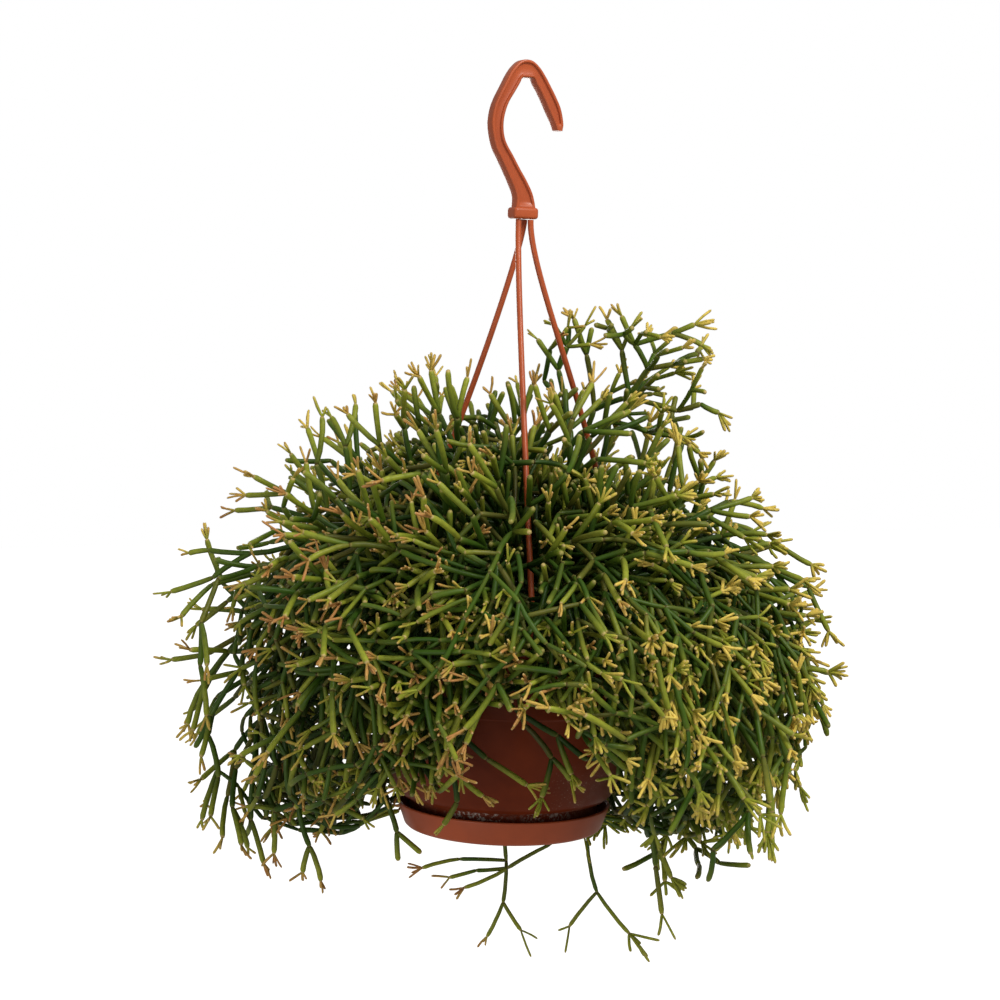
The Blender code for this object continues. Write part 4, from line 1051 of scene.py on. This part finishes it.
class Nodes:
    """Builds the nodes of a material or of the world with few words."""

    def __init__(self, owner):
        owner.use_nodes = True
        self.owner = owner
        self.tree = owner.node_tree
        self.shader = self.tree.nodes.get("Principled BSDF")

    def link(self, source, target):
        if hasattr(source, "is_output"):
            self.tree.links.new(source, target)
        elif isinstance(source, tuple):
            target.default_value = (*source, 1.0) if len(source) == 3 and target.type == "RGBA" else source
        else:
            target.default_value = source

    def add(self, kind, output, inputs=None, **settings):
        """One output of a new node whose inputs are linked or set."""
        made = self.tree.nodes.new(f"ShaderNode{kind}")
        for key, value in settings.items():
            setattr(made, key, value)
        for key, value in (inputs or {}).items():
            self.link(value, made.inputs[key])
        return made.outputs[output]

    def math(self, operation, a, b=0.0, clamp=False):
        return self.add("Math", 0, {0: a, 1: b}, operation=operation, use_clamp=clamp)

    def times(self, a, b):
        return self.math("MULTIPLY", a, b)

    def ramp(self, value, low, high, out_low=0.0, out_high=1.0):
        inputs = {"Value": value, "From Min": low, "From Max": high, "To Min": out_low, "To Max": out_high}
        return self.add("MapRange", "Result", inputs, interpolation_type="SMOOTHSTEP")

    def mix(self, factor, a, b):
        return self.add("Mix", 2, {0: factor, 6: a, 7: b}, data_type="RGBA")

    def noise(self, scale, detail=3.0, rough=0.55):
        spot = self.add("TexCoord", "Object")
        return self.add("TexNoise", 0, {"Vector": spot, "Scale": scale, "Detail": detail, "Roughness": rough})

    def part_along(self, way):
        """How far each place lies along a direction."""
        spot = self.add("TexCoord", "Object")
        return self.add("VectorMath", "Value", {0: spot, 1: tuple(way)}, operation="DOT_PRODUCT")

    def bump(self, height, strength, distance):
        inputs = {"Height": height, "Strength": strength, "Distance": distance}
        self.link(self.add("Bump", "Normal", inputs), self.shader.inputs["Normal"])

    def finish(self, colour, roughness, specular):
        looks = {"Base Color": colour, "Roughness": roughness, "Specular IOR Level": specular}
        for key, value in looks.items():
            self.link(value, self.shader.inputs[key])
        return self.owner


def stem_material():
    """Green, paler towards each end, golden at the young tips, brown at the joints, and darkened deep inside
    the crown as painted shade.
    """
    n = Nodes(bpy.data.materials.new("stem_skin"))
    growth = n.add("Attribute", "Vector", attribute_name="growth")
    along, youth, tone = n.add("SeparateXYZ", 0, {0: growth}).node.outputs
    depth = n.add("Attribute", "Fac", attribute_name="inner")
    broad = n.noise(20.0, 2.0)
    fine = n.noise(420.0)
    # deep inside the crown the green darkens towards a near-black green: painted shade
    inner = n.mix(depth, n.mix(tone, *OLD_GREENS), INNER_SHADE_GREEN)
    sun = n.times(n.ramp(broad, 0.42, 0.62), n.ramp(depth, 0.5, 0.0))
    sunned = n.mix(n.times(sun, 0.38), inner, SUN_BROWN)
    olive = n.mix(n.times(n.ramp(tone, 0.76, 0.98), 0.45), sunned, OLIVE)
    toward_tip = n.math("ADD", youth, n.times(along, 0.30), clamp=True)
    lime = n.mix(n.ramp(toward_tip, 0.18, 0.66), olive, LIME)
    yellow = n.math("ADD", n.ramp(n.part_along(ACROSS), -0.02, 0.10, 0.0, 0.5), n.noise(9.0, 1.0))
    gold = n.mix(n.ramp(n.math("SUBTRACT", yellow, n.times(tone, 0.25)), 0.25, 0.70), *GOLDS)
    tipped = n.mix(n.ramp(toward_tip, 0.64, 1.00), lime, gold)
    joint = n.mix(n.times(n.ramp(along, 0.075, 0.0), 0.80), tipped, JOINT_BROWN)
    end = n.times(n.ramp(along, 0.955, 1.0), n.ramp(youth, 0.0, 0.3, 0.22, 0.85))
    mottled = n.mix(n.ramp(fine, 0.35, 0.75, 0.0, 0.35), n.mix(end, joint, END_TAN), MOTTLE_GREEN)
    n.bump(fine, 0.25, 0.0003)
    return n.finish(mottled, n.ramp(fine, 0.3, 0.7, 0.38, 0.52), 0.22)


def plastic_material(name, colours, shine, stains=()):
    n = Nodes(bpy.data.materials.new(name))
    broad = n.noise(30.0, 4.0)
    colour = n.mix(n.ramp(broad, 0.35, 0.7), *colours)
    for stain in stains:
        colour = stain(n, n.part_along(UP), n.part_along(ACROSS), colour)
    n.bump(n.noise(900.0, 2.0), 0.03, 0.0002)
    return n.finish(colour, n.ramp(broad, 0.3, 0.7, 0.30, 0.42), shine)


def limescale(n, height, across, colour):
    """Two patches of fine pale crust on the pot's foot, above the saucer."""
    band = n.times(n.ramp(height, -0.3585, -0.3565), n.ramp(height, -0.3520, -0.3535))
    left = n.ramp(n.math("ABSOLUTE", n.math("ADD", across, 0.0120)), 0.0150, 0.0090)
    right = n.ramp(n.math("ABSOLUTE", n.math("SUBTRACT", across, 0.0210)), 0.0140, 0.0060, 0.0, 0.6)
    patch = n.math("ADD", n.math("MAXIMUM", left, right), 0.12)
    crust = n.times(n.times(band, patch), n.ramp(n.noise(520.0, 4.0, 0.7), 0.48, 0.60))
    return n.mix(n.times(crust, 0.9), colour, CRUST)


def scuffs(n, height, across, colour):
    """Dry specks on the right of the pot, and a dull bloom lower down on both sides."""
    low = n.times(n.ramp(height, -0.3240, -0.3360), n.ramp(n.noise(60.0), 0.40, 0.62))
    specks = n.times(n.ramp(n.noise(1100.0, 3.0, 0.6), 0.60, 0.68), n.ramp(across, 0.016, 0.034))
    aside = n.ramp(n.math("ABSOLUTE", across), 0.020, 0.046, 0.0, 0.30)
    bloom = n.mix(n.times(low, aside), colour, BLOOM)
    return n.mix(n.times(n.times(low, specks), 0.55), bloom, DRY_SPECKS)


def soil_material():
    n = Nodes(bpy.data.materials.new("potting_soil"))
    lumps = n.noise(260.0, 5.0, 0.65)
    n.bump(lumps, 0.9, 0.0012)
    return n.finish(n.mix(n.ramp(lumps, 0.3, 0.7), *SOIL_BROWNS), 0.95, 0.2)


# stage


def make_camera():
    forward = BACK * cos(CAMERA_PITCH) - UP * sin(CAMERA_PITCH)
    upward = np.cross(ACROSS, forward)
    right = ACROSS * cos(CAMERA_ROLL) + upward * sin(CAMERA_ROLL)
    top = upward * cos(CAMERA_ROLL) - ACROSS * sin(CAMERA_ROLL)
    spot = place(CAMERA_ASIDE, -CAMERA_DISTANCE, CAMERA_HEIGHT) * MM
    data = bpy.data.cameras.new("camera")
    data.sensor_width = SENSOR
    data.lens = FOCAL_PIXELS / FRAME_PIXELS * SENSOR
    data.clip_end = CAMERA_REACH
    camera = add_object("camera", data)
    camera.matrix_world = Matrix((*zip(right, top, -forward, spot), (0, 0, 0, 1)))
    bpy.context.scene.camera = camera


def add_lamp(name, spot, aim, size, power):
    data = bpy.data.lights.new(name, "AREA")
    data.shape = "DISK"
    data.size = size
    data.energy = power
    data.color = WARM
    lamp = add_object(name, data)
    lamp.location = place(*spot)
    lamp.rotation_euler = (Vector((0, 0, aim)) - lamp.location).to_track_quat("-Z", "Y").to_euler()


def make_world():
    """A white backdrop, and a soft light that is strongest from above."""
    world = bpy.data.worlds.new("studio")
    bpy.context.scene.world = world
    n = Nodes(world)
    backdrop = n.tree.nodes["Background"]
    n.link(WHITE, backdrop.inputs["Color"])
    rise = n.add("SeparateXYZ", 2, {0: n.add("TexCoord", "Generated")})
    spread = {"Value": rise, "From Min": LIGHT_FROM, "To Min": LIGHT_BELOW, "To Max": LIGHT_ABOVE}
    felt = n.add("Background", 0, {"Color": WARM, "Strength": n.add("MapRange", "Result", spread)})
    in_view = n.add("LightPath", "Is Camera Ray")
    mixed = n.add("MixShader", 0, {0: in_view, 1: felt, 2: backdrop.outputs[0]})
    n.link(mixed, n.tree.nodes["World Output"].inputs["Surface"])


def make_stage():
    bpy.context.scene.view_settings.view_transform = "Standard"
    make_world()
    n = Nodes(bpy.data.materials.new("floor_paint"))
    n.link(WHITE, n.shader.inputs["Emission Color"])
    n.link(FLOOR_GLOW, n.shader.inputs["Emission Strength"])
    work = bmesh.new()
    bmesh.ops.create_grid(work, x_segments=1, y_segments=1, size=FLOOR_REACH,
                          matrix=Matrix.Translation((0, 0, FLOOR_HEIGHT)))
    mesh = finished(work)
    mesh.materials.append(n.finish(FLOOR_GREY, 0.9, 0.1))
    floor = add_object("floor", mesh)
    floor.visible_diffuse = False
    floor.visible_glossy = False
    for lamp in LAMPS:
        add_lamp(*lamp)


def main():
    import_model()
    make_camera()
    make_stage()
    hanger = plastic_material("hanger_plastic_look", HANGER_COLOURS, SHINE)
    # the pot's plastic is painted darker than the hook's and the saucer's: painted shade from the foliage
    pot = plastic_material("pot_plastic_look", POT_SHADED_COLOURS, POT_SHINE, (limescale, scuffs))
    saucer = plastic_material("saucer_plastic_look", SAUCER_COLOURS, SHINE)
    make_hook(hanger)
    make_legs(hanger)
    make_pot(pot)
    make_saucer(saucer)
    make_soil(soil_material())
    make_stems(stem_material())


main()
